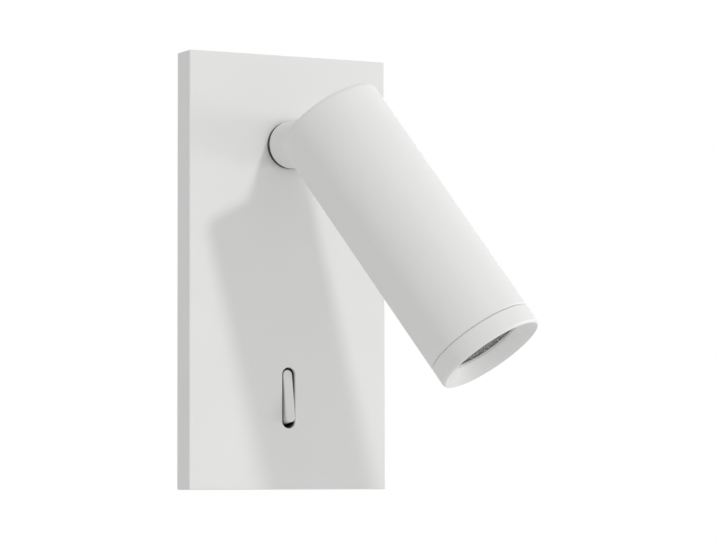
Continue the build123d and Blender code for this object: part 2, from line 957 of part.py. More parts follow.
def make_neck_arm():
    """The turned neck: a threaded spigot, the round neck and the flat tongue of the tilt hinge."""
    shoulder = pivot_depth + shoulder_reach
    neck = rod_y(spigot_radius, neck_rear, spigot_end)
    neck += rod_y(neck_radius, shoulder, neck_rear)
    half_w = tongue_width / 2
    neck += span(-half_w, half_w, pivot_depth, shoulder, -tongue_end_radius, tongue_end_radius)
    neck += rod_x(tongue_end_radius, -half_w, half_w, pivot_depth)
    # Passage for the lead, opening into a fork at the pivot
    neck -= rod_y(lead_bore_radius, pivot_depth, spigot_end)
    half_fork = fork_width / 2
    neck -= span(
        -half_fork,
        half_fork,
        pivot_depth - tongue_end_radius,
        pivot_depth + fork_depth,
        -tongue_end_radius,
        half_fork,
    )
    neck -= rod_x(pivot_thread_radius, -half_w, half_w, pivot_depth)
    return neck_turn * Pos(0, 0, neck_height) * neck


def make_stop_washer():
    """The keyed washer whose tab meets the plate's lug at both ends of the swivel."""
    low = stop_washer_start
    high = low + stop_washer_thickness
    washer = ring_y(stop_washer_radius, spigot_radius + fit_clearance, low, high)
    tab_root = (spigot_radius + stop_washer_radius) / 2
    tab = span(-stop_width / 2, stop_width / 2, low, high, tab_root, stop_tab_radius)
    return neck_turn * Pos(0, 0, neck_height) * (washer + tab)


def make_lock_nut():
    """The thin nut that holds the swivel together."""
    nut = Rot(X=-90) * hexagon(lock_nut_across_flats, 0, lock_nut_thickness)
    nut = Pos(0, lock_nut_start, 0) * nut
    nut -= rod_y(spigot_radius, lock_nut_start, lock_nut_start + lock_nut_thickness)
    return neck_turn * Pos(0, 0, neck_height) * nut


def swivel_washer(radius, start, thickness):
    """A plain washer on the spigot."""
    return ring_y(radius, spigot_radius + fit_clearance, start, start + thickness, 0, neck_height)


save("neck_arm", make_neck_arm())
front_washer = swivel_washer(
    front_washer_radius, plate_front - front_washer_thickness, front_washer_thickness
)
rear_washer = swivel_washer(rear_washer_radius, rear_washer_start, rear_washer_thickness)
spring_washer = swivel_washer(spring_washer_radius, spring_washer_start, spring_washer_thickness)
save("swivel_front_washer", front_washer)
save("swivel_rear_washer", rear_washer)
save("swivel_spring_washer", spring_washer)
save("swivel_stop_washer", make_stop_washer())
save("swivel_lock_nut", make_lock_nut())


# ---------------------------------------------------------------- tilt hinge

def make_pivot_screws():
    """Two shoulder screws, threaded into the tongue from both sides."""
    inner = fork_width / 2 + lead_gap
    face = tongue_width / 2
    top = pivot_head_seat + pivot_head_height
    screw = turned(
        (0, inner),
        (pivot_thread_radius, inner),
        (pivot_thread_radius, face),
        (pivot_shoulder_radius, face),
        (pivot_shoulder_radius, pivot_head_seat),
        (pivot_head_radius, pivot_head_seat),
        (pivot_head_radius, top),
        (0, top),
    )
    screw -= hexagon(pivot_socket, pivot_head_seat + pivot_head_height / 2, top)
    return [neck_pivot() * Rot(Y=side * 90) * screw for side in (-1, 1)]


def neck_pivot():
    """The pivot, turned with the neck."""
    return neck_turn * Pos(0, pivot_depth, neck_height)


def make_pivot_spring_washers():
    """A spring washer under each shoulder screw's head."""
    inner = pivot_shoulder_radius + fit_clearance
    washer = ring_z(pivot_spring_radius, inner, cheek_back + running_clearance, pivot_head_seat)
    return [neck_pivot() * Rot(Y=side * 90) * washer for side in (-1, 1)]


def make_pivot_friction_washers():
    """A friction washer between the tongue and each cheek of the pivot block."""
    inner = pivot_shoulder_radius + running_clearance
    washer = ring_z(pivot_washer_radius, inner, tongue_width / 2 + running_clearance, cheek_face)
    return [head_place * Rot(Y=side * 90) * washer for side in (-1, 1)]


def make_pivot_block():
    """The round block in the head, with a pocket for the tongue and a cheek on each side."""
    block = rod_z(inner_radius, block_rear, pivot_block_front)
    block -= span(-cheek_face, cheek_face, -head_radius, pocket_reach, block_rear, pocket_reach)
    block -= rod_x(pivot_shoulder_radius + running_clearance, -head_radius, head_radius)
    for side in (-1, 1):
        low = min(side * cheek_back, side * head_radius)
        high = max(side * cheek_back, side * head_radius)
        block -= rod_x(pivot_head_radius + 4 * screw_clearance, low, high)
    block -= rod_z(sink_bore_radius, pocket_reach, pivot_block_front)
    for x, y in block_screw_places():
        block -= rod_z(block_screw_radius + screw_clearance, block_rear, pivot_block_front, x, y)
        block -= rod_z(
            block_screw_head_radius + screw_clearance, block_rear, block_rear + block_screw_recess, x, y
        )
    return head_place * block


def block_screw_places():
    """The four screws of the pivot block, two in each cheek."""
    x = block_screw_circle * cos(radians(block_screw_angle))
    y = block_screw_circle * sin(radians(block_screw_angle))
    return [(side * x, end * y) for side in (-1, 1) for end in (-1, 1)]


def make_block_screws():
    """The four screws that join the pivot block to the heat sink."""
    seat = block_rear + block_screw_recess
    grip = pivot_block_front - seat + block_screw_grip
    screw = headed_screw(
        block_screw_radius, grip, block_screw_head_radius, block_screw_head_height, block_screw_radius
    )
    return [head_place * Pos(x, y, seat) * Rot(X=180) * screw for x, y in block_screw_places()]


save("pivot_screws", *make_pivot_screws())
save("pivot_spring_washers", *make_pivot_spring_washers())
save("pivot_friction_washers", *make_pivot_friction_washers())
save("pivot_block", make_pivot_block())
save("block_screws", *make_block_screws())


# ---------------------------------------------------------------- head

def shell_grub_place():
    """How far ahead of the pivot the shell's grub screw sits."""
    return pivot_block_front + sink_top_thickness / 2


def make_head_shell():
    """The tube of the head, closed at the rear, slotted on the wall side for the tongue."""
    rear = -head_rear_overhang
    shell = rod_z(head_radius, rear, head_seam)
    shell = fillet(shell.edges().sort_by(Axis.Z)[0], head_rear_edge_radius)
    shell -= rod_z(shell_bore, rear + head_rear_wall, head_seam)
    half = slot_half_width
    shell -= span(-half, half, -head_radius, slot_reach, rear, rear + head_rear_wall)
    shell -= span(-half, half, -head_radius, 0, rear, slot_reach)
    hole = shell_grub_radius + screw_clearance
    shell -= rod_y(hole, -head_radius, 0, 0, shell_grub_place())
    return head_place * shell


def make_shell_grub_screw():
    """The grub screw, on the wall side, that fixes the shell to the heat sink."""
    screw = Rot(X=90) * grub_screw(shell_grub_radius, shell_grub_length)
    return head_place * Pos(0, -head_radius + shell_grub_recess, shell_grub_place()) * screw


def make_heat_sink():
    """The turned heat sink: two end discs, a core and the fins between them."""
    sink = rod_z(inner_radius, pivot_block_front, sink_top_back)
    sink += rod_z(sink_core_radius, sink_top_back, sink_base_back)
    sink += rod_z(inner_radius, sink_base_back, sink_base_front)
    fin_pitch = (sink_base_back - sink_top_back) / (sink_fin_count + 1)
    for count in range(1, sink_fin_count + 1):
        middle = sink_top_back + count * fin_pitch
        half_fin = sink_fin_thickness / 2
        sink += rod_z(inner_radius - sink_fin_inset, middle - half_fin, middle + half_fin)
    sink -= rod_z(sink_bore_radius, pivot_block_front, sink_base_front)
    for x, y in block_screw_places():
        sink -= rod_z(block_screw_radius, pivot_block_front, pivot_block_front + block_screw_grip, x, y)
    grub_tip = head_radius - shell_grub_recess - shell_grub_length
    sink -= rod_y(shell_grub_radius, -head_radius, -grub_tip, 0, shell_grub_place())
    for side in (-1, 1):
        sink -= rod_z(
            board_screw_radius,
            sink_base_front - board_screw_grip,
            sink_base_front,
            side * board_screw_place,
        )
    return head_place * sink


def make_thermal_pad():
    """The thin pad between the heat sink and the LED board."""
    pad = ring_z(board_radius, sink_bore_radius, sink_base_front, board_back)
    for side in (-1, 1):
        hole = board_screw_radius + screw_clearance
        pad -= rod_z(hole, sink_base_front, board_back, side * board_screw_place)
    return head_place * pad


def make_led_board():
    """The round board that carries the light source."""
    board = rod_z(board_radius, board_back, board_front)
    for side in (-1, 1):
        hole = board_screw_radius + screw_clearance
        board -= rod_z(hole, board_back, board_front, side * board_screw_place)
    return head_place * board


def make_led_chip():
    """The light source: a square base and a small dome."""
    half = chip_width / 2
    base = span(-half, half, -half, half, board_front, board_front + chip_height)
    top = board_front + chip_height
    dome = Pos(0, 0, top) * Sphere(chip_dome_radius) & rod_z(half, top, top + half)
    return head_place * (base + dome)


def make_board_screws():
    """The two screws that press the board to the heat sink."""
    grip = board_screw_grip + thermal_pad_thickness + board_thickness
    screw = headed_screw(
        board_screw_radius, grip, board_screw_head_radius, board_screw_head_height, board_screw_radius
    )
    return [head_place * Pos(side * board_screw_place, 0, board_front) * screw for side in (-1, 1)]


def make_lens_holder():
    """The dark sleeve that stands on the board and carries the lens by its rim."""
    return head_place * ring_z(lens_rim_radius, lens_rim_radius - holder_wall, board_front, rim_back)


def make_lens():
    """The collimator lens, with a cavity round the light source and a rim at its front."""
    rear = board_front + lens_rear_gap
    lens = turned(
        (0, lens_front),
        (lens_rim_radius, lens_front),
        (lens_rim_radius, rim_back),
        (lens_face_radius, rim_back),
        (lens_waist_radius, (rear + rim_back) / 2),
        (lens_rear_radius, rear),
        (lens_cavity_radius, rear),
        (lens_cavity_radius, rear + lens_cavity_depth),
        (0, rear + lens_cavity_depth),
    )
    return head_place * lens


def make_lens_gasket():
    """The soft ring between the lens and the bezel."""
    gasket = ring_z(lens_rim_radius, bezel_cone_radius, lens_front, lens_front + gasket_thickness)
    return head_place * gasket


def make_front_bezel():
    """The screwed ring at the front, with a round lip and a cone down to the lens."""
    seat = cone_back - bezel_land
    bezel = turned(
        (bezel_cone_radius, seat),
        (skirt_inner_radius, seat),
        (skirt_inner_radius, skirt_back),
        (inner_radius, skirt_back),
        (inner_radius, head_seam + seam_gap),
        (head_radius, head_seam + seam_gap),
        (head_radius, head_front),
        (bezel_mouth_radius, head_front),
        (bezel_cone_radius, cone_back),
    )
    rim = bezel.edges().group_by(Axis.Z)[-1].sort_by(SortBy.RADIUS)[-1]
    return head_place * fillet(rim, min(bezel_lip_radius, bezel_lip_width - running_clearance))


save("head_shell", make_head_shell())
save("shell_grub_screw", make_shell_grub_screw())
save("heat_sink", make_heat_sink())
save("thermal_pad", make_thermal_pad())
save("led_board", make_led_board())
save("led_chip", make_led_chip())
save("board_screws", *make_board_screws())
save("lens_holder", make_lens_holder())
save("lens", make_lens())
save("lens_gasket", make_lens_gasket())
save("front_bezel", make_front_bezel())


# ---------------------------------------------------------------- leads

def make_supply_leads():
    """The two leads from the first two poles of the terminal block down to the driver."""
    poles = pole_places()[:2]
    return [rod_z(wire_radius, driver_top, block_centre, x, clamp_centre) for x in poles]


def make_earth_lead():
    """The lead from the third pole, down beside the driver, to its tag under the earth screw."""
    pole = pole_places()[2]
    side = (driver_width + driver_side_room) / 2
    above = block_bottom - driver_block_gap / 2
    below = driver_bottom - driver_ear_length - earth_lead_drop
    end = earth_tag_back - earth_tag_thickness / 2
    lead = wire(
        wire_radius,
        wire_bend_radius,
        (pole, clamp_centre, block_centre),
        (pole, clamp_centre, above),
        (side, clamp_centre, above),
        (side, clamp_centre, below),
        (earth_x, end, below),
    )
    half = earth_tag_width / 2
    tag = rod_y(earth_tag_radius, earth_tag_front, earth_tag_back, earth_x, earth_z)
    tag += span(earth_x - half, earth_x + half, earth_tag_front, earth_tag_back, earth_z, below)
    hole = earth_screw_radius + screw_clearance
    return lead + tag - rod_y(hole, earth_tag_front, earth_tag_back, earth_x, earth_z)


def make_switch_leads():
    """The two leads from the driver to the switch's terminals."""
    leads = []
    for number, z in enumerate(terminal_places()):
        turn = terminal_end + wire_bend_radius + wire_radius + number * wire_pitch
        points = (0, terminal_end, z), (0, turn, z), (0, turn, driver_bottom)
        leads.append(wire(wire_radius, wire_bend_radius, *points))
    return leads


def make_output_lead():
    """The lead from the top of the driver to the end of the neck's spigot."""
    start = spigot_end + lead_gap
    turn = driver_front + lead_inset
    points = (0, start, neck_height), (0, turn, neck_height), (0, turn, driver_top)
    return wire(lead_radius, lead_bend_radius, *points)


def make_neck_lead():
    """The lead inside the neck."""
    lead = rod_y(lead_radius, pivot_depth + pivot_lead_start, spigot_end, 0, neck_height)
    return neck_turn * lead


def make_pivot_lead():
    """The short bend of the lead across the tilt hinge, as it lies at rest."""
    turn = radians(tilt_angle)
    bend = arc_share * pivot_lead_start / tan(turn / 2)
    points = (
        (0, pivot_lead_start, 0),
        (0, 0, 0),
        (0, -pivot_lead_start * cos(turn), -pivot_lead_start * sin(turn)),
    )
    return neck_pivot() * wire(lead_radius, bend, *points)


def make_head_lead():
    """The lead along the head to the board."""
    return head_place * rod_z(lead_radius, pivot_lead_start, board_back)


save("supply_leads", *make_supply_leads())
save("earth_lead", make_earth_lead())
save("switch_leads", *make_switch_leads())
save("output_lead", make_output_lead())
save("neck_lead", make_neck_lead())
save("pivot_lead", make_pivot_lead())
save("head_lead", make_head_lead())
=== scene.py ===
"""The looks of a bedside wall reading lamp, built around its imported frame.

Blender's unit is the metre. Shapes are written in millimetres in a local frame of their own and placed once.
+X is to the right, +Y into the wall, +Z up, and the origin is the centre of the plate's back, on the wall.
"""
import json
from math import cos, hypot, pi, radians, sin, tan

import bmesh
import bpy
from mathutils import Matrix, Vector


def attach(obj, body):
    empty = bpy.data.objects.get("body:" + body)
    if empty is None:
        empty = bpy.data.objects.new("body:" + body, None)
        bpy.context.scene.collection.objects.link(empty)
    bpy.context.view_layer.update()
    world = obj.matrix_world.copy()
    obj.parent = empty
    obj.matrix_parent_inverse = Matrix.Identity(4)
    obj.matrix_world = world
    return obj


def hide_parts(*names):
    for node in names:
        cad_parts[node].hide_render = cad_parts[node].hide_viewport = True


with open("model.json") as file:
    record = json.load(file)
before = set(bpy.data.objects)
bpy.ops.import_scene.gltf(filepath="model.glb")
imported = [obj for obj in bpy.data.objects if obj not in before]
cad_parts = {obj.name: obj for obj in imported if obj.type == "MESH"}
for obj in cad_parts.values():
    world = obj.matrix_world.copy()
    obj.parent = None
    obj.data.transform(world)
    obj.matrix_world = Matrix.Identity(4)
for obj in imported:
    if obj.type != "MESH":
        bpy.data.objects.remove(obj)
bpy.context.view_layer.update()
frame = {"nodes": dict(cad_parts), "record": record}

MM = 0.001

# ---------------------------------------------------------------- camera

PHOTO_WIDTH = 716
FOCAL_PIXELS = 3059.6
SENSOR = 36.0
CAMERA_PLACE = (-0.45801, -0.95875, -0.07385)
CAMERA_YAW = radians(-27.070)
CAMERA_PITCH = radians(-4.039)
CAMERA_ROLL = radians(-0.170)


def make_camera():
    """The photograph's viewing angle, with no shift and everything in focus."""
    data = bpy.data.cameras.new("camera")
    data.sensor_width = SENSOR
    data.lens = FOCAL_PIXELS * SENSOR / PHOTO_WIDTH
    data.clip_start = 0.05
    data.clip_end = 100
    camera = bpy.data.objects.new("camera", data)
    bpy.context.scene.collection.objects.link(camera)
    bpy.context.scene.camera = camera
    back = Vector((
        sin(CAMERA_YAW) * cos(CAMERA_PITCH),
        -cos(CAMERA_YAW) * cos(CAMERA_PITCH),
        sin(CAMERA_PITCH),
    ))
    level = Vector((cos(CAMERA_YAW), sin(CAMERA_YAW), 0))
    upright = back.cross(level)
    right = cos(CAMERA_ROLL) * level + sin(CAMERA_ROLL) * upright
    up = cos(CAMERA_ROLL) * upright - sin(CAMERA_ROLL) * level
    turn = Matrix((right, up, back)).transposed()
    camera.matrix_world = Matrix.Translation(CAMERA_PLACE) @ turn.to_4x4()


make_camera()
bpy.context.scene.view_settings.view_transform = "Standard"

# ---------------------------------------------------------------- sizes
#
# Lengths are in millimetres. PAN, TILT, ROCKER_TILT and LIP_SWEEP are angles in radians, GRUB_SHARP is one
# in degrees, and STEPS, ROWS, TURNS, WAVES and SIDES are counts. PAST is how far a tool runs past the face
# that it cuts, or into the form that it joins.

PAN = radians(25.3)
TILT = radians(64.4)
ROCKER_TILT = radians(8.8)

PLATE_WIDTH = 75.0
PLATE_HEIGHT = 150.0
PLATE_DEPTH = 10.0
PLATE_WALL = 2.5
PLATE_CORNER = 0.6
PLATE_EDGE = 0.5
PLATE_BACK_EDGE = 0.2
TRAY_CORNER = 0.6

NECK_HEIGHT = 43.7
NECK_RADIUS = 8.1
NECK_START = 11.55
SPIGOT_RADIUS = 5.0
SPIGOT_END = -3.35
SPIGOT_HOLE = 5.08
SPIGOT_EDGE = 0.4
NECK_EDGE = 0.35
SHOULDER_EDGE = 0.5
BOSS_RADIUS = 13.0
BOSS_BACK = 3.5
STOP_WIDTH = 3.0
STOP_BACK = 0.5
STOP_LOW = 12.8
STOP_HIGH = 9.6

PIVOT_REACH = 49.3
SHOULDER = 28.53
TONGUE_WIDTH = 10.0
TONGUE_RADIUS = 6.0
FORK_WIDTH = 4.4
FORK_DEPTH = 5.0
LEAD_BORE = 2.0
PIVOT_BORE = 2.0

HEAD_RADIUS = 18.75
HEAD_BORE = 17.15
HEAD_REAR = -7.7
HEAD_REAR_WALL = 2.8
HEAD_REAR_EDGE = 2.0
HEAD_REAR_CORNER = 0.3
HEAD_BORE_EDGE = 0.1
HEAD_SEAM = 85.0
HEAD_FRONT = 92.1
HEAD_SLOT = 5.5
HEAD_SLOT_REACH = 6.5
HEAD_SLOT_ROOM = 0.05
HEAD_GRUB = 13.0
HEAD_GRUB_HOLE = 1.6

SEAM_GAP = 0.05
SEAM_EDGE = 0.65
LIP_OUTER = 1.2
LIP_STEPS = 10
LIP_SWEEP = radians(73)
LIP_INNER = 0.12
CONE_EDGE = 1.5
CONE_LIP = 0.25
CONE_LIP_BACK = 86.6
CONE_LIP_EDGE = 0.1
CONE_LIP_REAR_EDGE = 0.05
SKIRT_EDGE = 0.2
GASKET_ROOM = 0.05
GASKET_EDGE = 0.12
SKIRT_RADIUS = 17.1
SKIRT_BACK = 79.0
SKIRT_BORE = 14.9
CONE_RADIUS = 13.35
CONE_BACK = 87.4
BEZEL_SEAT = 86.9

SWITCH_HEIGHT = -43.5
SLOT_WIDTH = 5.0
SLOT_LENGTH = 21.0
SLOT_FLARE = 0.12
ROCKER_WIDTH = 3.4
ROCKER_LENGTH = 18.2
ROCKER_PIVOT = 5.8
ROCKER_FACE = 4.7
ROCKER_BACK = -1.6
ROCKER_EDGE = 0.4
ROCKER_BACK_EDGE = 0.2
BARREL_RADIUS = 1.4
BARREL_REACH = 3.15
PIN_BORE = 0.85
FOOT_HEIGHT = 4.4
FOOT_BACK = -6.8
FOOT_CORNER = 0.4
FOOT_EDGE = 0.3
WELL_RADIUS = 1.2
WELL_BOTTOM = -2.6

SPRING_RADIUS = 1.15
SPRING_WIRE = 0.15
SPRING_END = -4.8
SPRING_TURNS = 5
SPRING_STEPS = 32
WIRE_STEPS = 10

HOUSING_FRONT = 7.3
HOUSING_BACK = -9.2
HOUSING_FLOOR = -8.0
HOUSING_WIDTH = 10.5
HOUSING_HEIGHT = 25.4
HOUSING_CORNER = 0.6
HOUSING_BACK_EDGE = 0.5
HOUSING_EDGE = 0.2
CAVITY_WIDTH = 6.7
CAVITY_HEIGHT = 23.0
CAVITY_CORNER = 0.3
EAR_HEIGHT = 37.2
EAR_FRONT = 4.5
EAR_BACK = 3.0
EAR_CORNER = 2.2
EAR_HOLE = 1.2
EAR_HOLE_PLACE = 15.1
COLLAR_FRONT = 8.9
COLLAR_WIDTH = 4.9
COLLAR_LENGTH = 20.9
COLLAR_WALL = 0.35
COLLAR_ROOT = 0.2
COLLAR_EDGE = 0.1
BRIDGE_LENGTH = 2.9
BRIDGE_BACK = 6.1
BRIDGE_SIDE_ROOT = 0.5
BRIDGE_END_ROOT = 0.3
PIN_RADIUS = 0.8
PIN_DEPTH = 5.8
TAB_WIDTH = 3.0
TAB_THICKNESS = 1.0
TAB_PITCH = 4.5

LENS_RIM = 14.6
LENS_FACE = 12.6
LENS_FRONT = 86.5
LENS_RIM_BACK = 85.5
LENS_REAR = 72.2
LENS_REAR_RADIUS = 4.6
LENS_WAIST = (9.8, 78.85)
LENS_CAVITY = 2.7
LENS_CAVITY_FRONT = 76.2
LENS_STEPS = 400
LENS_CURVE_STEPS = 16
LENS_FACE_TOLERANCE = 0.01
PEBBLE_PITCH = 1.5
PEBBLE_DEPTH = 0.32
PEBBLE_LIMIT = 13.35
PEBBLE_STEP = 0.15

BOX_WIDTH = 44.0
BOX_HEIGHT = 126.0
BOX_DEPTH = 34.0
BOX_WALL = 1.2
BOX_BEND = 1.8
BOX_EDGE = 1.5
FLANGE_WIDTH = 68.0
FLANGE_HEIGHT = 141.0
FLANGE_CORNER = 3.0
FLANGE_EDGE = 0.15
LUG_WIDTH = 24.0
LUG_WALL = 1.5
LUG_FRONT = 6.5
LUG_ROOT = 0.2
LUG_CORNER = 2.5
WALL_HOLE = 2.25
WALL_HOLE_PLACE = 30.0
KNOCK_OUT = 9.0
KNOCK_OUT_GROOVE = 0.5
KNOCK_OUT_DEPTH = 0.3
KNOCK_OUT_STEPS = 64
EARTH_HOLE = (2.0, 14.0, -36.0)
DRIVER_HOLES = ((1.5, 0.0, 26.5), (1.5, 0.0, -22.5))
BLOCK_HOLES = ((1.25, -4.0, 44.5), (1.25, 4.0, 44.5))

GROMMET_PLACE = (-11.0, -12.0)
GROMMET_FLANGE = 8.4
GROMMET_NECK = 6.5
GROMMET_BORE = 4.0
GROMMET_THICKNESS = 1.6
GROMMET_EDGES = (0.5, 0.7, 0.25, 0, 0, 0.25, 1.1, 0.9)

GRUB_RADIUS = 1.5
GRUB_LENGTH = 5.0
GRUB_SOCKET = 0.866
SOCKET_DEPTH = 1.5
SOCKET_SIDES = 6
GRUB_DEPTH = 4.0
PLATE_GRUB_TOP = 74.4
HEAD_GRUB_TOP = 18.05
THREAD_PITCH = 0.5
THREAD_DEPTH = 0.27
THREAD_STEPS = 48
THREAD_ROWS = 8
GRUB_END = 0.3
GRUB_SHARP = 30

SWIVEL_WASHER = (8.5, 5.05, 1.85, 2.65)
PIVOT_WASHER = (4.0, 2.55, 11.05, 11.9)
WAVE_THICKNESS = 0.3
WAVES = 3
WAVE_EDGE = 0.08
WAVE_EDGE_STEPS = 2

LATHE_STEPS = 256
ROD_STEPS = 96
PILL_STEPS = 32
ARC_STEPS = 6
PAST = 1.0

# ---------------------------------------------------------------- placing

FACE = Matrix.Rotation(pi / 2, 4, "X")


def shift(x=0.0, y=0.0, z=0.0):
    """A move by millimetres."""
    return Matrix.Translation((x * MM, y * MM, z * MM))


wall_place = FACE
neck_place = shift(z=NECK_HEIGHT) @ Matrix.Rotation(-PAN, 4, "Y") @ FACE
head_place = neck_place @ shift(z=PIVOT_REACH) @ Matrix.Rotation(TILT, 4, "X")
rocker_place = shift(y=-ROCKER_PIVOT, z=SWITCH_HEIGHT) @ Matrix.Rotation(-ROCKER_TILT, 4, "X") @ FACE


# ---------------------------------------------------------------- mesh helpers

def solid(verts, faces):
    """A closed mesh from millimetres, with its faces turned outward."""
    mesh = bpy.data.meshes.new("solid")
    mesh.from_pydata([Vector(v) * MM for v in verts], [], faces)
    obj = bpy.data.objects.new("solid", mesh)
    bpy.context.scene.collection.objects.link(obj)
    bm = bmesh.new()
    bm.from_mesh(mesh)
    bmesh.ops.recalc_face_normals(bm, faces=bm.faces)
    bm.to_mesh(mesh)
    bm.free()
    return obj


def moved(obj, matrix):
    """The object's mesh, turned and moved."""
    obj.data.transform(matrix)
    return obj


def turned(obj, quarters, axis, x=0.0, y=0.0, z=0.0):
    """The object's mesh, turned by quarter turns about an axis and then moved by millimetres."""
    return moved(obj, shift(x, y, z) @ Matrix.Rotation(quarters * pi / 2, 4, axis))


def rounded(points, radii, steps=ARC_STEPS):
    """A closed outline with each corner rounded to its own radius; a radius of 0 leaves it sharp."""
    outline = []
    for index, (point, radius) in enumerate(zip(points, radii)):
        corner = Vector(point)
        before = (Vector(points[index - 1]) - corner).normalized()
        after = (Vector(points[(index + 1) % len(points)]) - corner).normalized()
        if not radius:
            outline.append(corner)
            continue
        half = before.angle(after) / 2
        centre = corner + (before + after).normalized() * radius / sin(half)
        start = corner + before * radius / tan(half) - centre
        end = corner + after * radius / tan(half) - centre
        turn = end.angle_signed(start)
        for step in range(steps + 1):
            outline.append(centre + Matrix.Rotation(turn * step / steps, 2) @ start)
    return outline


def inset(outline, distance):
    """An outline that runs counterclockwise, moved inward along its mitres."""
    result = []
    for index, point in enumerate(outline):
        before = (point - outline[index - 1]).normalized()
        after = (outline[(index + 1) % len(outline)] - point).normalized()
        normal = Vector((-before.y, before.x))
        mitre = (normal + Vector((-after.y, after.x))).normalized()
        result.append(point + mitre * distance / mitre.dot(normal))
    return result


def rectangle(width, height, corner):
    """A rectangle with round corners, counterclockwise."""
    half_w, half_h = width / 2, height / 2
    points = [(-half_w, -half_h), (half_w, -half_h), (half_w, half_h), (-half_w, half_h)]
    return rounded(points, [corner] * 4)


def pill(width, length, y=0.0):
    """An upright slot shape with round ends, counterclockwise."""
    radius = width / 2
    reach = (length - width) / 2
    outline = []
    for side, first in ((-1, pi), (1, 0)):
        for step in range(PILL_STEPS + 1):
            angle = first + pi * step / PILL_STEPS
            outline.append(Vector((radius * cos(angle), y + side * reach + radius * sin(angle))))
    return outline


def lathe(outline, steps=LATHE_STEPS):
    """A closed solid of revolution about Z, from a closed outline of radius and height."""
    verts, faces, rings = [], [], []
    for radius, height in outline:
        first = len(verts)
        if radius < MM:
            rings.append([first] * steps)
            verts.append((0, 0, height))
            continue
        rings.append(list(range(first, first + steps)))
        for step in range(steps):
            angle = 2 * pi * step / steps
            verts.append((radius * cos(angle), radius * sin(angle), height))
    for index, ring in enumerate(rings):
        other = rings[(index + 1) % len(rings)]
        for step in range(steps):
            following = (step + 1) % steps
            corners = dict.fromkeys((ring[step], ring[following], other[following], other[step]))
            if len(corners) > 2:
                faces.append(list(corners))
    return solid(verts, faces)


def ringed(verts, rows, around):
    """A closed solid through rings of equal count, with a flat face at each end."""
    faces = []
    for row in range(rows):
        for turn in range(around):
            first, second = row * around + turn, row * around + (turn + 1) % around
            faces.append((first, second, second + around, first + around))
    faces.append(list(range(around)))
    faces.append(list(range(rows * around, (rows + 1) * around)))
    return solid(verts, faces)


def stack(sections):
    """A closed solid through flat sections, given as outlines of equal count and their heights."""
    verts = [(x, y, height) for outline, height in sections for x, y in outline]
    return ringed(verts, len(sections) - 1, len(sections[0][0]))


def slab(outline, low, high, low_edge=0.0, high_edge=0.0):
    """An outline raised from low to high, with its lower and upper edges rounded."""
    sections = []
    for edge, end, side in ((low_edge, low, 1), (high_edge, high, -1)):
        steps = range(ARC_STEPS + 1) if edge else [0]
        rings = []
        for step in steps:
            angle = pi / 2 * step / ARC_STEPS
            ring = inset(outline, edge * (1 - sin(angle))) if edge else outline
            rings.append((ring, end + side * edge * (1 - cos(angle))))
        sections += rings if side > 0 else rings[::-1]
    return stack(sections)


def bar(x_low, x_high, y_low, y_high, z_low, z_high):
    """A plain block, used to cut or join."""
    outline = [Vector(p) for p in ((x_low, y_low), (x_high, y_low), (x_high, y_high), (x_low, y_high))]
    return slab(outline, z_low, z_high)


def rod(radius, low, high, steps=ROD_STEPS):
    """A plain rod along Z, used to cut or join."""
    return lathe([(0, low), (radius, low), (radius, high), (0, high)], steps)


def rod_x(radius, low, high, y=0.0, z=0.0):
    """A plain rod along X."""
    return turned(rod(radius, low, high), 1, "Y", 0, y, z)


def rod_y(radius, low, high, x=0.0, z=0.0):
    """A plain rod along Y."""
    return turned(rod(radius, low, high), -1, "X", x, 0, z)


def rod_at(radius, x, y, low, high):
    """A plain rod along Z, at a place of its own."""
    return moved(rod(radius, low, high), shift(x, y))


def baked(obj):
    """The object with its modifiers made part of its mesh."""
    graph = bpy.context.evaluated_depsgraph_get()
    mesh = bpy.data.meshes.new_from_object(obj.evaluated_get(graph))
    obj.modifiers.clear()
    obj.data = mesh
    return obj


def combine(obj, operation, tools):
    """Joins tools to the object or cuts them from it."""
    for tool in tools:
        modifier = obj.modifiers.new("combine", "BOOLEAN")
        modifier.operation = operation
        modifier.solver = "EXACT"
        modifier.object = tool
    baked(obj)
    for tool in tools:
        bpy.data.objects.remove(tool)
    return obj


def cut(obj, *tools):
    """The object less the tools."""
    return combine(obj, "DIFFERENCE", tools)


def join(obj, *tools):
    """The object with the tools joined to it."""
    return combine(obj, "UNION", tools)


def piece(obj, name, body, slot, place, *nodes, sharp=50):
    """Names and places a finished piece, shades it, and ties it to its body and the nodes it stands for."""
    moved(obj, place)
    obj.name = name
    obj.data.name = name
    for polygon in obj.data.polygons:
        polygon.use_smooth = True
    obj.data.set_sharp_from_angle(angle=radians(sharp))
    modifier = obj.modifiers.new("even_shading", "WEIGHTED_NORMAL")
    modifier.keep_sharp = True
    baked(obj)
    obj.data.materials.clear()
    obj.data.materials.append(finishes[slot])
    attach(obj, body)
    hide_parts(*nodes)


# ---------------------------------------------------------------- materials

def start_material(name, color, roughness, metallic=0.0, **constants):
    """A principled material; the constants are set on the shader's own sockets."""
    made = bpy.data.materials.new(name)
    made.use_nodes = True
    shader = made.node_tree.nodes["Principled BSDF"]
    shader.inputs["Base Color"].default_value = (*color, 1)
    shader.inputs["Roughness"].default_value = roughness
    shader.inputs["Metallic"].default_value = metallic
    for socket, value in constants.items():
        shader.inputs[socket.replace("_", " ")].default_value = value
    return made, made.node_tree, shader


def coordinates(tree, stretch=(1, 1, 1)):
    """The place on the piece, in metres, stretched along each axis."""
    source = tree.nodes.new("ShaderNodeTexCoord")
    mapping = tree.nodes.new("ShaderNodeMapping")
    mapping.inputs["Scale"].default_value = stretch
    tree.links.new(source.outputs["Object"], mapping.inputs["Vector"])
    return mapping.outputs["Vector"]


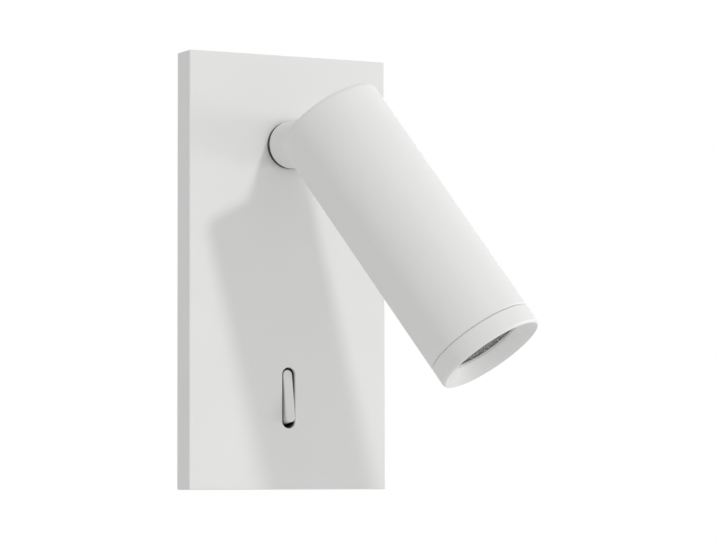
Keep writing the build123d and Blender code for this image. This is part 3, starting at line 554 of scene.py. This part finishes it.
def noise(tree, scale, detail=3.0, stretch=(1, 1, 1)):
    """Soft noise between 0 and 1, with so many features to the metre."""
    node = tree.nodes.new("ShaderNodeTexNoise")
    node.inputs["Scale"].default_value = scale
    node.inputs["Detail"].default_value = detail
    tree.links.new(coordinates(tree, stretch), node.inputs["Vector"])
    return node.outputs["Fac"]


def cells(tree, scale):
    """A tone for each Voronoi cell, with so many cells to the metre."""
    node = tree.nodes.new("ShaderNodeTexVoronoi")
    node.inputs["Scale"].default_value = scale
    tree.links.new(coordinates(tree), node.inputs["Vector"])
    return node.outputs["Color"]


def between(tree, value, low, high, start=0.3, end=0.7):
    """Maps a value from start and end to low and high."""
    node = tree.nodes.new("ShaderNodeMapRange")
    node.inputs["From Min"].default_value = start
    node.inputs["From Max"].default_value = end
    node.inputs["To Min"].default_value = low
    node.inputs["To Max"].default_value = high
    tree.links.new(value, node.inputs["Value"])
    return node.outputs["Result"]


def mixed(tree, share, first, second):
    """A colour between two, by a share from 0 to 1."""
    node = tree.nodes.new("ShaderNodeMix")
    node.data_type = "RGBA"
    node.inputs["A"].default_value = (*first, 1)
    node.inputs["B"].default_value = (*second, 1)
    tree.links.new(share, node.inputs["Factor"])
    return node.outputs["Result"]


def bumped(tree, shader, height, strength, distance):
    """Fine relief: distance is the depth in millimetres of a height of 1."""
    node = tree.nodes.new("ShaderNodeBump")
    node.inputs["Strength"].default_value = strength
    node.inputs["Distance"].default_value = distance * MM
    tree.links.new(height, node.inputs["Height"])
    tree.links.new(node.outputs["Normal"], shader.inputs["Normal"])


def shade(color, factor):
    """A colour made lighter or darker."""
    return tuple(min(1.0, channel * factor) for channel in color)


def coated(slot, color):
    """Powder coat on aluminium: satin, with a fine orange peel."""
    made, tree, shader = start_material(slot, color, 0.52)
    tone = between(tree, noise(tree, 60), 0, 1)
    tree.links.new(mixed(tree, tone, shade(color, 0.992), shade(color, 1.006)), shader.inputs["Base Color"])
    tree.links.new(between(tree, noise(tree, 900), 0.48, 0.56), shader.inputs["Roughness"])
    bumped(tree, shader, noise(tree, 1600, 2.0), strength=0.35, distance=0.012)
    return made


def moulded(slot, color, roughness, spread, grain, relief):
    """Moulded plastic: faint tone, an even gloss and a fine texture from the mould."""
    made, tree, shader = start_material(slot, color, roughness)
    tone = between(tree, noise(tree, 120), 0, 1)
    tree.links.new(mixed(tree, tone, shade(color, 0.97), shade(color, 1.02)), shader.inputs["Base Color"])
    low, high = roughness - spread, roughness + spread
    tree.links.new(between(tree, noise(tree, grain / 2), low, high), shader.inputs["Roughness"])
    bumped(tree, shader, noise(tree, grain, 2.0), strength=0.4, distance=relief)
    return made


def plated(slot, color):
    """Bright zinc plate on steel, with small crystal patches and a fine grain."""
    made, tree, shader = start_material(slot, color, 0.34, metallic=1.0)
    patch = between(tree, cells(tree, 260), 0, 1, 0.0, 1.0)
    tree.links.new(mixed(tree, patch, shade(color, 0.94), shade(color, 1.04)), shader.inputs["Base Color"])
    tree.links.new(between(tree, noise(tree, 500), 0.26, 0.44), shader.inputs["Roughness"])
    bumped(tree, shader, noise(tree, 2200, 3.0), strength=0.25, distance=0.01)
    return made


def turned_metal(slot, color, roughness):
    """Machined metal, with fine tool marks that run across Z."""
    made, tree, shader = start_material(slot, color, roughness, metallic=1.0)
    marks = noise(tree, 300, 2.0, (1, 1, 24))
    tree.links.new(mixed(tree, marks, shade(color, 0.88), shade(color, 1.06)), shader.inputs["Base Color"])
    low, high = roughness - 0.07, roughness + 0.07
    tree.links.new(between(tree, marks, low, high), shader.inputs["Roughness"])
    bumped(tree, shader, marks, strength=0.2, distance=0.01)
    return made


def clear_moulding(slot, color):
    """Clear acrylic, with faint flow marks."""
    made, tree, shader = start_material(slot, color, 0.18, Transmission_Weight=0.88, IOR=1.49)
    tree.links.new(between(tree, noise(tree, 400), 0.12, 0.24), shader.inputs["Roughness"])
    bumped(tree, shader, noise(tree, 700, 1.0), strength=0.15, distance=0.02)
    return made


WHITE_COAT = (0.815, 0.815, 0.808)
GLOSS_WHITE = (0.83, 0.83, 0.822)
ZINC = (0.66, 0.67, 0.68)
SPRING = (0.50, 0.50, 0.51)
BRASS = (0.72, 0.55, 0.26)
ALUMINIUM = (0.77, 0.77, 0.78)

finishes = {
    "white_powder_coat": coated("white_powder_coat", WHITE_COAT),
    "white_gloss_plastic": moulded("white_gloss_plastic", GLOSS_WHITE, 0.12, 0.02, 400, 0.003),
    "zinc_plated_steel": plated("zinc_plated_steel", ZINC),
    "black_rubber": moulded("black_rubber", (0.035, 0.035, 0.035), 0.72, 0.06, 3000, 0.02),
    "natural_nylon": moulded("natural_nylon", (0.80, 0.78, 0.71), 0.45, 0.05, 1500, 0.01),
    "brass": turned_metal("brass", BRASS, 0.30),
    "white_case_plastic": moulded("white_case_plastic", (0.78, 0.78, 0.76), 0.50, 0.05, 2600, 0.02),
    "green_board": moulded("green_board", (0.03, 0.19, 0.08), 0.35, 0.05, 1200, 0.01),
    "dark_ferrite": moulded("dark_ferrite", (0.07, 0.07, 0.075), 0.60, 0.08, 3500, 0.03),
    "capacitor_sleeve": moulded("capacitor_sleeve", (0.03, 0.045, 0.12), 0.25, 0.04, 900, 0.006),
    "black_plastic": moulded("black_plastic", (0.025, 0.025, 0.026), 0.48, 0.06, 2400, 0.015),
    "spring_steel": turned_metal("spring_steel", SPRING, 0.28),
    "bare_aluminium": turned_metal("bare_aluminium", ALUMINIUM, 0.32),
    "thermal_pad_grey": moulded("thermal_pad_grey", (0.36, 0.38, 0.41), 0.80, 0.05, 2000, 0.02),
    "white_board": moulded("white_board", (0.80, 0.80, 0.78), 0.38, 0.04, 1200, 0.008),
    "led_phosphor": moulded("led_phosphor", (0.85, 0.66, 0.14), 0.30, 0.05, 2500, 0.01),
    "clear_lens": clear_moulding("clear_lens", (0.97, 0.98, 0.98)),
    "wire_brown": moulded("wire_brown", (0.13, 0.055, 0.03), 0.38, 0.05, 1400, 0.01),
    "wire_green": moulded("wire_green", (0.09, 0.30, 0.05), 0.38, 0.05, 1400, 0.01),
    "wire_white": moulded("wire_white", (0.76, 0.76, 0.74), 0.38, 0.05, 1400, 0.01),
}


def dress_nodes():
    """Gives every carried-over node the finish of its slot in the record."""
    for part in frame["record"]["subparts"]:
        node = frame["nodes"][part["node"]]
        node.data.materials.clear()
        node.data.materials.append(finishes[part["material_slot"]])


dress_nodes()


# ---------------------------------------------------------------- plate

def flared(outline, low, high, flare):
    """A cutter for an opening whose rim, at the high end, is rounded outward."""
    sections = [(outline, low)]
    for step in range(ARC_STEPS + 1):
        angle = pi / 2 * step / ARC_STEPS
        sections.append((inset(outline, -flare * (1 - cos(angle))), high - flare * (1 - sin(angle))))
    sections.append((inset(outline, -flare), high + PAST))
    return stack(sections)


def make_plate():
    """The cast tray, with its soft edges, swivel boss, stop lug, hole for the spigot and slot."""
    outline = rectangle(PLATE_WIDTH, PLATE_HEIGHT, PLATE_CORNER)
    plate = slab(outline, 0, PLATE_DEPTH, PLATE_BACK_EDGE, PLATE_EDGE)
    inside = PLATE_DEPTH - PLATE_WALL
    hollow = rectangle(PLATE_WIDTH - 2 * PLATE_WALL, PLATE_HEIGHT - 2 * PLATE_WALL, TRAY_CORNER)
    cut(plate, slab(hollow, -PAST, inside, 0, TRAY_CORNER))
    boss = rod_at(BOSS_RADIUS, 0, NECK_HEIGHT, BOSS_BACK, inside + PAST)
    low, high = NECK_HEIGHT - STOP_LOW, NECK_HEIGHT - STOP_HIGH
    lug = bar(-STOP_WIDTH / 2, STOP_WIDTH / 2, low, high, STOP_BACK, BOSS_BACK + PAST)
    join(plate, boss, lug)
    slot = flared(pill(SLOT_WIDTH, SLOT_LENGTH, SWITCH_HEIGHT), 0, PLATE_DEPTH, SLOT_FLARE)
    hole = rod_at(SPIGOT_HOLE, 0, NECK_HEIGHT, -PAST, PLATE_DEPTH + PAST)
    cut(plate, slot, hole)
    piece(plate, "plate_cast", "root", "white_powder_coat", wall_place, "front_plate")


make_plate()


# ---------------------------------------------------------------- neck

def make_neck():
    """The turned neck with its spigot, and the flat tongue that the head tilts on."""
    outline = rounded(
        [
            (0, SPIGOT_END),
            (SPIGOT_RADIUS, SPIGOT_END),
            (SPIGOT_RADIUS, NECK_START),
            (NECK_RADIUS, NECK_START),
            (NECK_RADIUS, SHOULDER),
            (0, SHOULDER),
        ],
        [0, SPIGOT_EDGE, 0, NECK_EDGE, SHOULDER_EDGE, 0],
    )
    neck = lathe(outline)
    half = TONGUE_WIDTH / 2
    tongue = rod_x(TONGUE_RADIUS, -half, half, 0, PIVOT_REACH)
    web = bar(-half, half, -TONGUE_RADIUS, TONGUE_RADIUS, SHOULDER - PAST, PIVOT_REACH)
    join(neck, join(web, tongue))
    fork = FORK_WIDTH / 2
    low, high = PIVOT_REACH - FORK_DEPTH, PIVOT_REACH + TONGUE_RADIUS + PAST
    gap = bar(-fork, fork, -TONGUE_RADIUS - PAST, fork, low, high)
    bore = rod(LEAD_BORE, SPIGOT_END - PAST, PIVOT_REACH)
    pivot = rod_x(PIVOT_BORE, -half - PAST, half + PAST, 0, PIVOT_REACH)
    cut(neck, bore, gap, pivot)
    piece(neck, "neck_turned", "neck", "white_powder_coat", neck_place, "neck_arm")


make_neck()


# ---------------------------------------------------------------- head

def make_head_tube():
    """The tube of the head, closed and rounded at the rear, slotted on the wall side."""
    outline = rounded(
        [
            (0, HEAD_REAR),
            (HEAD_RADIUS, HEAD_REAR),
            (HEAD_RADIUS, HEAD_SEAM),
            (HEAD_BORE, HEAD_SEAM),
            (HEAD_BORE, HEAD_REAR + HEAD_REAR_WALL),
            (0, HEAD_REAR + HEAD_REAR_WALL),
        ],
        [0, HEAD_REAR_EDGE, SEAM_EDGE, HEAD_BORE_EDGE, HEAD_REAR_CORNER, 0],
    )
    tube = lathe(outline)
    wall_side = -HEAD_RADIUS - PAST
    side = bar(-HEAD_SLOT, HEAD_SLOT, wall_side, 0, HEAD_REAR - PAST, HEAD_SLOT_REACH)
    low, high = HEAD_REAR - 2 * PAST, HEAD_REAR + HEAD_REAR_WALL + HEAD_SLOT_ROOM
    rear = bar(-HEAD_SLOT, HEAD_SLOT, wall_side - PAST, HEAD_SLOT_REACH, low, high)
    hole = turned(rod(HEAD_GRUB_HOLE, 0, HEAD_RADIUS + PAST), 1, "X", z=HEAD_GRUB)
    cut(tube, side, rear, hole)
    piece(tube, "head_tube", "head", "white_powder_coat", head_place, "head_shell")


def make_bezel():
    """The screwed ring in front of the seam, with its skirt, its round lip and the cone down to the lens."""
    lip = []
    for step in range(LIP_STEPS + 1):
        angle = LIP_SWEEP * step / LIP_STEPS
        inward, back = LIP_OUTER * (1 - cos(angle)), LIP_OUTER * (1 - sin(angle))
        lip.append((HEAD_RADIUS - inward, HEAD_FRONT - back))
    edges = [CONE_LIP_EDGE, CONE_LIP_REAR_EDGE, 0, 0, SKIRT_EDGE, SKIRT_EDGE, 0, SEAM_EDGE]
    outline = rounded(
        [
            (CONE_RADIUS, CONE_LIP_BACK),
            (CONE_RADIUS + CONE_LIP, CONE_LIP_BACK),
            (CONE_RADIUS + CONE_LIP, BEZEL_SEAT),
            (SKIRT_BORE, BEZEL_SEAT),
            (SKIRT_BORE, SKIRT_BACK),
            (SKIRT_RADIUS, SKIRT_BACK),
            (SKIRT_RADIUS, HEAD_SEAM + SEAM_GAP),
            (HEAD_RADIUS, HEAD_SEAM + SEAM_GAP),
            *lip,
            (CONE_RADIUS, CONE_BACK),
        ],
        [*edges, *[0] * LIP_STEPS, LIP_INNER, CONE_EDGE],
    )
    ring = lathe(outline)
    piece(ring, "bezel_ring", "head", "white_powder_coat", head_place, "front_bezel")


def make_gasket():
    """The soft gasket between the lens and the bezel, out of sight behind the bezel's inner lip."""
    inner = CONE_RADIUS + CONE_LIP + GASKET_ROOM
    outline = [(inner, LENS_FRONT), (LENS_RIM, LENS_FRONT), (LENS_RIM, BEZEL_SEAT), (inner, BEZEL_SEAT)]
    gasket = lathe(rounded(outline, [GASKET_EDGE] * 4))
    piece(gasket, "gasket_soft", "head", "black_rubber", head_place, "lens_gasket")


make_head_tube()
make_bezel()
make_gasket()


# ---------------------------------------------------------------- switch

def make_rocker():
    """The glossy button with its soft edges, its barrel round the pin and the foot for the plunger."""
    outline = pill(ROCKER_WIDTH, ROCKER_LENGTH)
    button = slab(outline, ROCKER_BACK, ROCKER_FACE, ROCKER_BACK_EDGE, ROCKER_EDGE)
    foot = slab(rectangle(ROCKER_WIDTH, FOOT_HEIGHT, FOOT_CORNER), FOOT_BACK, 0, FOOT_EDGE, 0)
    join(button, rod_x(BARREL_RADIUS, -BARREL_REACH, BARREL_REACH), foot)
    bore = rod_x(PIN_BORE, -BARREL_REACH - PAST, BARREL_REACH + PAST)
    cut(button, bore, rod(WELL_RADIUS, FOOT_BACK - PAST, WELL_BOTTOM))
    piece(button, "rocker_moulded", "rocker", "white_gloss_plastic", rocker_place, "switch_rocker")


def make_spring():
    """The wound spring behind the plunger."""
    centre = SPRING_RADIUS - SPRING_WIRE
    low, high = SPRING_END + SPRING_WIRE, WELL_BOTTOM - SPRING_WIRE
    steps = SPRING_STEPS * SPRING_TURNS
    verts = []
    for step in range(steps + 1):
        share = step / steps
        rise = share - sin(2 * pi * share) / (2 * pi * SPRING_TURNS)
        angle = 2 * pi * SPRING_TURNS * share
        for turn in range(WIRE_STEPS):
            side = 2 * pi * turn / WIRE_STEPS
            radius = centre + SPRING_WIRE * cos(side)
            height = low + (high - low) * rise + SPRING_WIRE * sin(side)
            verts.append((radius * cos(angle), radius * sin(angle), height))
    coil = ringed(verts, steps, WIRE_STEPS)
    piece(coil, "plunger_coil", "rocker", "spring_steel", rocker_place, "plunger_spring")


def make_housing():
    """The dark switch body, its ears, and the thin collar that lines the slot round the rocker."""
    outline = rectangle(HOUSING_WIDTH, HOUSING_HEIGHT, HOUSING_CORNER)
    body = slab(outline, HOUSING_BACK, HOUSING_FRONT, HOUSING_BACK_EDGE, HOUSING_EDGE)
    ears = rectangle(HOUSING_WIDTH, EAR_HEIGHT, EAR_CORNER)
    join(body, slab(ears, EAR_BACK, EAR_FRONT, HOUSING_EDGE, HOUSING_EDGE))
    cavity = rectangle(CAVITY_WIDTH, CAVITY_HEIGHT, CAVITY_CORNER)
    cut(body, slab(cavity, HOUSING_FLOOR, HOUSING_FRONT + PAST))
    half_w, half_h = CAVITY_WIDTH / 2, CAVITY_HEIGHT / 2
    side, length = half_w + BRIDGE_SIDE_ROOT, BRIDGE_LENGTH + BRIDGE_END_ROOT
    bridges = [
        bar(-side, side, low, low + length, BRIDGE_BACK, HOUSING_FRONT)
        for low in (-half_h - BRIDGE_END_ROOT, half_h - BRIDGE_LENGTH)
    ]
    outline = pill(COLLAR_WIDTH, COLLAR_LENGTH)
    collar = slab(outline, HOUSING_FRONT - COLLAR_ROOT, COLLAR_FRONT, 0, COLLAR_EDGE)
    join(body, *bridges, collar)
    bore = pill(COLLAR_WIDTH - 2 * COLLAR_WALL, COLLAR_LENGTH - 2 * COLLAR_WALL)
    cut(body, slab(bore, BRIDGE_BACK - PAST, COLLAR_FRONT + PAST))
    cut(body, rod_x(PIN_RADIUS, -HOUSING_WIDTH, HOUSING_WIDTH, 0, PIN_DEPTH))
    for side in (-1, 1):
        cut(body, rod_at(EAR_HOLE, 0, side * EAR_HOLE_PLACE, EAR_BACK - PAST, EAR_FRONT + PAST))
    half_w, half_t = TAB_WIDTH / 2, TAB_THICKNESS / 2
    low, high = HOUSING_BACK - PAST, HOUSING_FLOOR + PAST
    for middle in (0, -TAB_PITCH):
        cut(body, bar(-half_w, half_w, middle - half_t, middle + half_t, low, high))
    place = wall_place @ shift(y=SWITCH_HEIGHT)
    piece(body, "housing_moulded", "root", "black_plastic", place, "switch_housing")


make_rocker()
make_spring()
make_housing()


# ---------------------------------------------------------------- optic

def pebble(x, y):
    """How far a point of the lens's face lies from the nearest pebble's top, squared, from 0 to 1."""
    row_pitch = PEBBLE_PITCH * sin(pi / 3)
    nearest = PEBBLE_PITCH
    middle = round(y / row_pitch)
    for row in (middle - 1, middle, middle + 1):
        offset = PEBBLE_PITCH / 2 * (row % 2)
        across = round((x - offset) / PEBBLE_PITCH) * PEBBLE_PITCH + offset
        nearest = min(nearest, hypot(x - across, y - row * row_pitch))
    return min(1, nearest / PEBBLE_PITCH * 2 * cos(pi / 6)) ** 2


def make_lens():
    """The clear collimator lens: a curved body, a cavity round the light source and a pebbled face."""
    steps = int(PEBBLE_LIMIT / PEBBLE_STEP)
    outline = [(0, LENS_FRONT)] + [(PEBBLE_STEP * step, LENS_FRONT) for step in range(1, steps + 1)]
    outline += [(LENS_RIM, LENS_FRONT), (LENS_RIM, LENS_RIM_BACK)]
    for step in range(LENS_CURVE_STEPS + 1):
        share = step / LENS_CURVE_STEPS
        first, second, third = (1 - share) ** 2, 2 * share * (1 - share), share ** 2
        radius = first * LENS_FACE + second * LENS_WAIST[0] + third * LENS_REAR_RADIUS
        height = first * LENS_RIM_BACK + second * LENS_WAIST[1] + third * LENS_REAR
        outline.append((radius, height))
    outline += [(LENS_CAVITY, LENS_REAR), (LENS_CAVITY, LENS_CAVITY_FRONT), (0, LENS_CAVITY_FRONT)]
    lens = lathe(outline, LENS_STEPS)
    face = (LENS_FRONT - LENS_FACE_TOLERANCE) * MM
    for vert in lens.data.vertices:
        x, y = vert.co.x / MM, vert.co.y / MM
        if vert.co.z > face and hypot(x, y) < PEBBLE_LIMIT:
            vert.co.z -= PEBBLE_DEPTH * pebble(x, y) * MM
    piece(lens, "lens_pebbled", "head", "clear_lens", head_place, "lens")


make_lens()


# ---------------------------------------------------------------- recess box and grommet

def make_box():
    """The pressed steel box with its bent edges, flange, lugs, knock-outs and holes."""
    box = slab(rectangle(BOX_WIDTH, BOX_HEIGHT, BOX_BEND), -BOX_DEPTH, BOX_WALL, BOX_EDGE, 0)
    flange = slab(rectangle(FLANGE_WIDTH, FLANGE_HEIGHT, FLANGE_CORNER), 0, BOX_WALL, 0, FLANGE_EDGE)
    join(box, flange)
    half = LUG_WIDTH / 2
    corners = [(-half, LUG_ROOT), (half, LUG_ROOT), (half, LUG_FRONT), (-half, LUG_FRONT)]
    outline = rounded(corners, [0, 0, LUG_CORNER, LUG_CORNER])
    for side in (-1, 1):
        outer = side * FLANGE_HEIGHT / 2
        inner = outer - side * LUG_WALL
        lug = slab(outline, -max(outer, inner), -min(outer, inner))
        join(box, turned(lug, 1, "X"))
    inside = rectangle(BOX_WIDTH - 2 * BOX_WALL, BOX_HEIGHT - 2 * BOX_WALL, BOX_BEND - BOX_WALL)
    cut(box, slab(inside, BOX_WALL - BOX_DEPTH, BOX_WALL + PAST, BOX_EDGE - BOX_WALL, 0))
    grub_reach = FLANGE_HEIGHT / 2 + PAST
    cut(box, rod_y(GRUB_RADIUS, -grub_reach, grub_reach, 0, GRUB_DEPTH))
    cut(box, *[rod_at(WALL_HOLE, side * WALL_HOLE_PLACE, 0, -PAST, BOX_WALL + PAST) for side in (-1, 1)])
    back = (-BOX_DEPTH - PAST, BOX_WALL - BOX_DEPTH + PAST)
    cut(box, *[rod_at(*hole, *back) for hole in (EARTH_HOLE, *DRIVER_HOLES, *BLOCK_HOLES)])
    top = BOX_HEIGHT / 2
    cut(box, rod_y(GROMMET_NECK, top - BOX_WALL - PAST, top + PAST, *GROMMET_PLACE))
    knock_outs(box)
    piece(box, "box_pressed", "root", "zinc_plated_steel", wall_place, "recess_box")


def knock_outs(box):
    """Cuts the groove round each knock-out in the outer faces of the box."""
    ring = [
        (KNOCK_OUT, -KNOCK_OUT_DEPTH),
        (KNOCK_OUT + KNOCK_OUT_GROOVE, -KNOCK_OUT_DEPTH),
        (KNOCK_OUT + KNOCK_OUT_GROOVE, PAST),
        (KNOCK_OUT, PAST),
    ]
    middle = -BOX_DEPTH / 2
    for side in (-1, 1):
        for height in (-BOX_HEIGHT / 4, BOX_HEIGHT / 4):
            groove = lathe(ring, KNOCK_OUT_STEPS)
            cut(box, turned(groove, side, "Y", side * BOX_WIDTH / 2, height, middle))
    cut(box, turned(lathe(ring, KNOCK_OUT_STEPS), 1, "X", 0, -BOX_HEIGHT / 2, middle))


def make_grommet():
    """The soft grommet, with rounded lips that grip the edge of its hole."""
    inside, outside = BOX_HEIGHT / 2 - BOX_WALL, BOX_HEIGHT / 2
    low, high = inside - GROMMET_THICKNESS, outside + GROMMET_THICKNESS
    outline = rounded(
        [
            (GROMMET_BORE, low),
            (GROMMET_FLANGE, low),
            (GROMMET_FLANGE, inside),
            (GROMMET_NECK, inside),
            (GROMMET_NECK, outside),
            (GROMMET_FLANGE, outside),
            (GROMMET_FLANGE, high),
            (GROMMET_BORE, high),
        ],
        GROMMET_EDGES,
    )
    across, depth = GROMMET_PLACE
    grommet = turned(lathe(outline, ROD_STEPS), -1, "X", across, 0, depth)
    piece(grommet, "grommet_moulded", "root", "black_rubber", wall_place, "cable_grommet")


make_box()
make_grommet()


# ---------------------------------------------------------------- fixings

def grub_screw():
    """A threaded grub screw along Z, with its socket at the top and its top at the origin."""
    rows = int(GRUB_LENGTH / THREAD_PITCH * THREAD_ROWS)
    verts = []
    for row in range(rows + 1):
        height = -GRUB_LENGTH + GRUB_LENGTH * row / rows
        end = min(-height, height + GRUB_LENGTH)
        for turn in range(THREAD_STEPS):
            phase = (height / THREAD_PITCH - turn / THREAD_STEPS) % 1
            groove = THREAD_DEPTH * (1 - abs(2 * phase - 1))
            radius = GRUB_RADIUS - max(groove, GRUB_END - end)
            angle = 2 * pi * turn / THREAD_STEPS
            verts.append((radius * cos(angle), radius * sin(angle), height))
    screw = ringed(verts, rows, THREAD_STEPS)
    return cut(screw, rod(GRUB_SOCKET, -SOCKET_DEPTH, PAST, SOCKET_SIDES))


def make_grub_screws():
    """The two screws in the plate's edges, and the one in the wall side of the head."""
    finish = "zinc_plated_steel"
    upper = turned(grub_screw(), -1, "X", 0, PLATE_GRUB_TOP, GRUB_DEPTH)
    join(upper, turned(grub_screw(), 1, "X", 0, -PLATE_GRUB_TOP, GRUB_DEPTH))
    piece(upper, "plate_grubs", "root", finish, wall_place, "plate_grub_screws", sharp=GRUB_SHARP)
    screw = turned(grub_screw(), 1, "X", 0, -HEAD_GRUB_TOP, HEAD_GRUB)
    piece(screw, "head_grub", "head", finish, head_place, "shell_grub_screw", sharp=GRUB_SHARP)


def wave_washer(outer, inner, low, high):
    """A spring washer along Z, waved between two heights."""
    half = WAVE_THICKNESS / 2
    middle = (low + high) / 2
    corners = [(inner, -half), (outer, -half), (outer, half), (inner, half)]
    washer = lathe(rounded(corners, [WAVE_EDGE] * 4, WAVE_EDGE_STEPS), ROD_STEPS)
    swing = (high - low) / 2 - half
    for vert in washer.data.vertices:
        angle = Vector((1, 0)).angle_signed(vert.co.xy)
        vert.co.z += (middle + swing * cos(WAVES * angle)) * MM
    return washer


def make_wave_washers():
    """The waved spring washers of the swivel and of the two tilt screws."""
    swivel = moved(wave_washer(*SWIVEL_WASHER), shift(y=NECK_HEIGHT))
    piece(swivel, "swivel_wave", "neck", "spring_steel", wall_place, "swivel_spring_washer")
    left, right = [turned(wave_washer(*PIVOT_WASHER), side, "Y", z=PIVOT_REACH) for side in (-1, 1)]
    piece(join(left, right), "pivot_waves", "neck", "spring_steel", neck_place, "pivot_spring_washers")


make_grub_screws()
make_wave_washers()


# ---------------------------------------------------------------- room
#
# Lengths are in metres. A light has a name, the direction that it travels, a distance, a size and a power.

FLOOR_HEIGHT = -0.45
FLOOR_SIZE = 8.0
FLOOR_THICKNESS = 0.01
FLOOR_GLOW = 0.22
AMBIENT = 0.605
KEY = ("key", (-0.255, 1.0, -0.70), 2.7, 0.30, 17.5)
FILL = ("fill", (-1.3, 0.33, 0.12), 2.2, 0.8, 14.0)
WHITE = (1, 1, 1, 1)


def sees_white(tree):
    """1 for rays from the camera or a reflection and through clear plastic, else 0."""
    path = tree.nodes.new("ShaderNodeLightPath")
    total = path.outputs["Is Camera Ray"]
    for kind in ("Is Glossy Ray", "Is Transmission Ray"):
        node = tree.nodes.new("ShaderNodeMath")
        node.operation = "MAXIMUM"
        tree.links.new(total, node.inputs[0])
        tree.links.new(path.outputs[kind], node.inputs[1])
        total = node.outputs[0]
    return total


def make_world():
    """A white surround that lights the lamp softly and plainly."""
    world = bpy.data.worlds.new("surround")
    bpy.context.scene.world = world
    world.use_nodes = True
    tree = world.node_tree
    background = tree.nodes["Background"]
    background.inputs["Color"].default_value = WHITE
    strength = between(tree, sees_white(tree), AMBIENT, 1.0, 0, 1)
    tree.links.new(strength, background.inputs["Strength"])


def make_floor():
    """A plain pale floor well below the lamp."""
    half = FLOOR_SIZE / 2 / MM
    low, high = (FLOOR_HEIGHT - FLOOR_THICKNESS) / MM, FLOOR_HEIGHT / MM
    floor = bar(-half, half, -half, half, low, high)
    floor.name = "floor"
    made, tree, shader = start_material("floor_white", (0.9, 0.9, 0.9), 0.9)
    shader.inputs["Emission Color"].default_value = WHITE
    glow = between(tree, sees_white(tree), 0, FLOOR_GLOW, 0, 1)
    tree.links.new(glow, shader.inputs["Emission Strength"])
    floor.data.materials.append(made)


def make_light(name, travel, distance, size, power):
    """A round soft light at a distance from the origin, aimed at it along the direction of travel."""
    data = bpy.data.lights.new(name, "AREA")
    data.shape = "DISK"
    data.size = size
    data.energy = power
    lamp = bpy.data.objects.new(name, data)
    bpy.context.scene.collection.objects.link(lamp)
    direction = Vector(travel).normalized()
    lamp.location = -direction * distance
    lamp.rotation_mode = "QUATERNION"
    lamp.rotation_quaternion = direction.to_track_quat("-Z", "Y")


make_world()
make_floor()
make_light(*KEY)
make_light(*FILL)
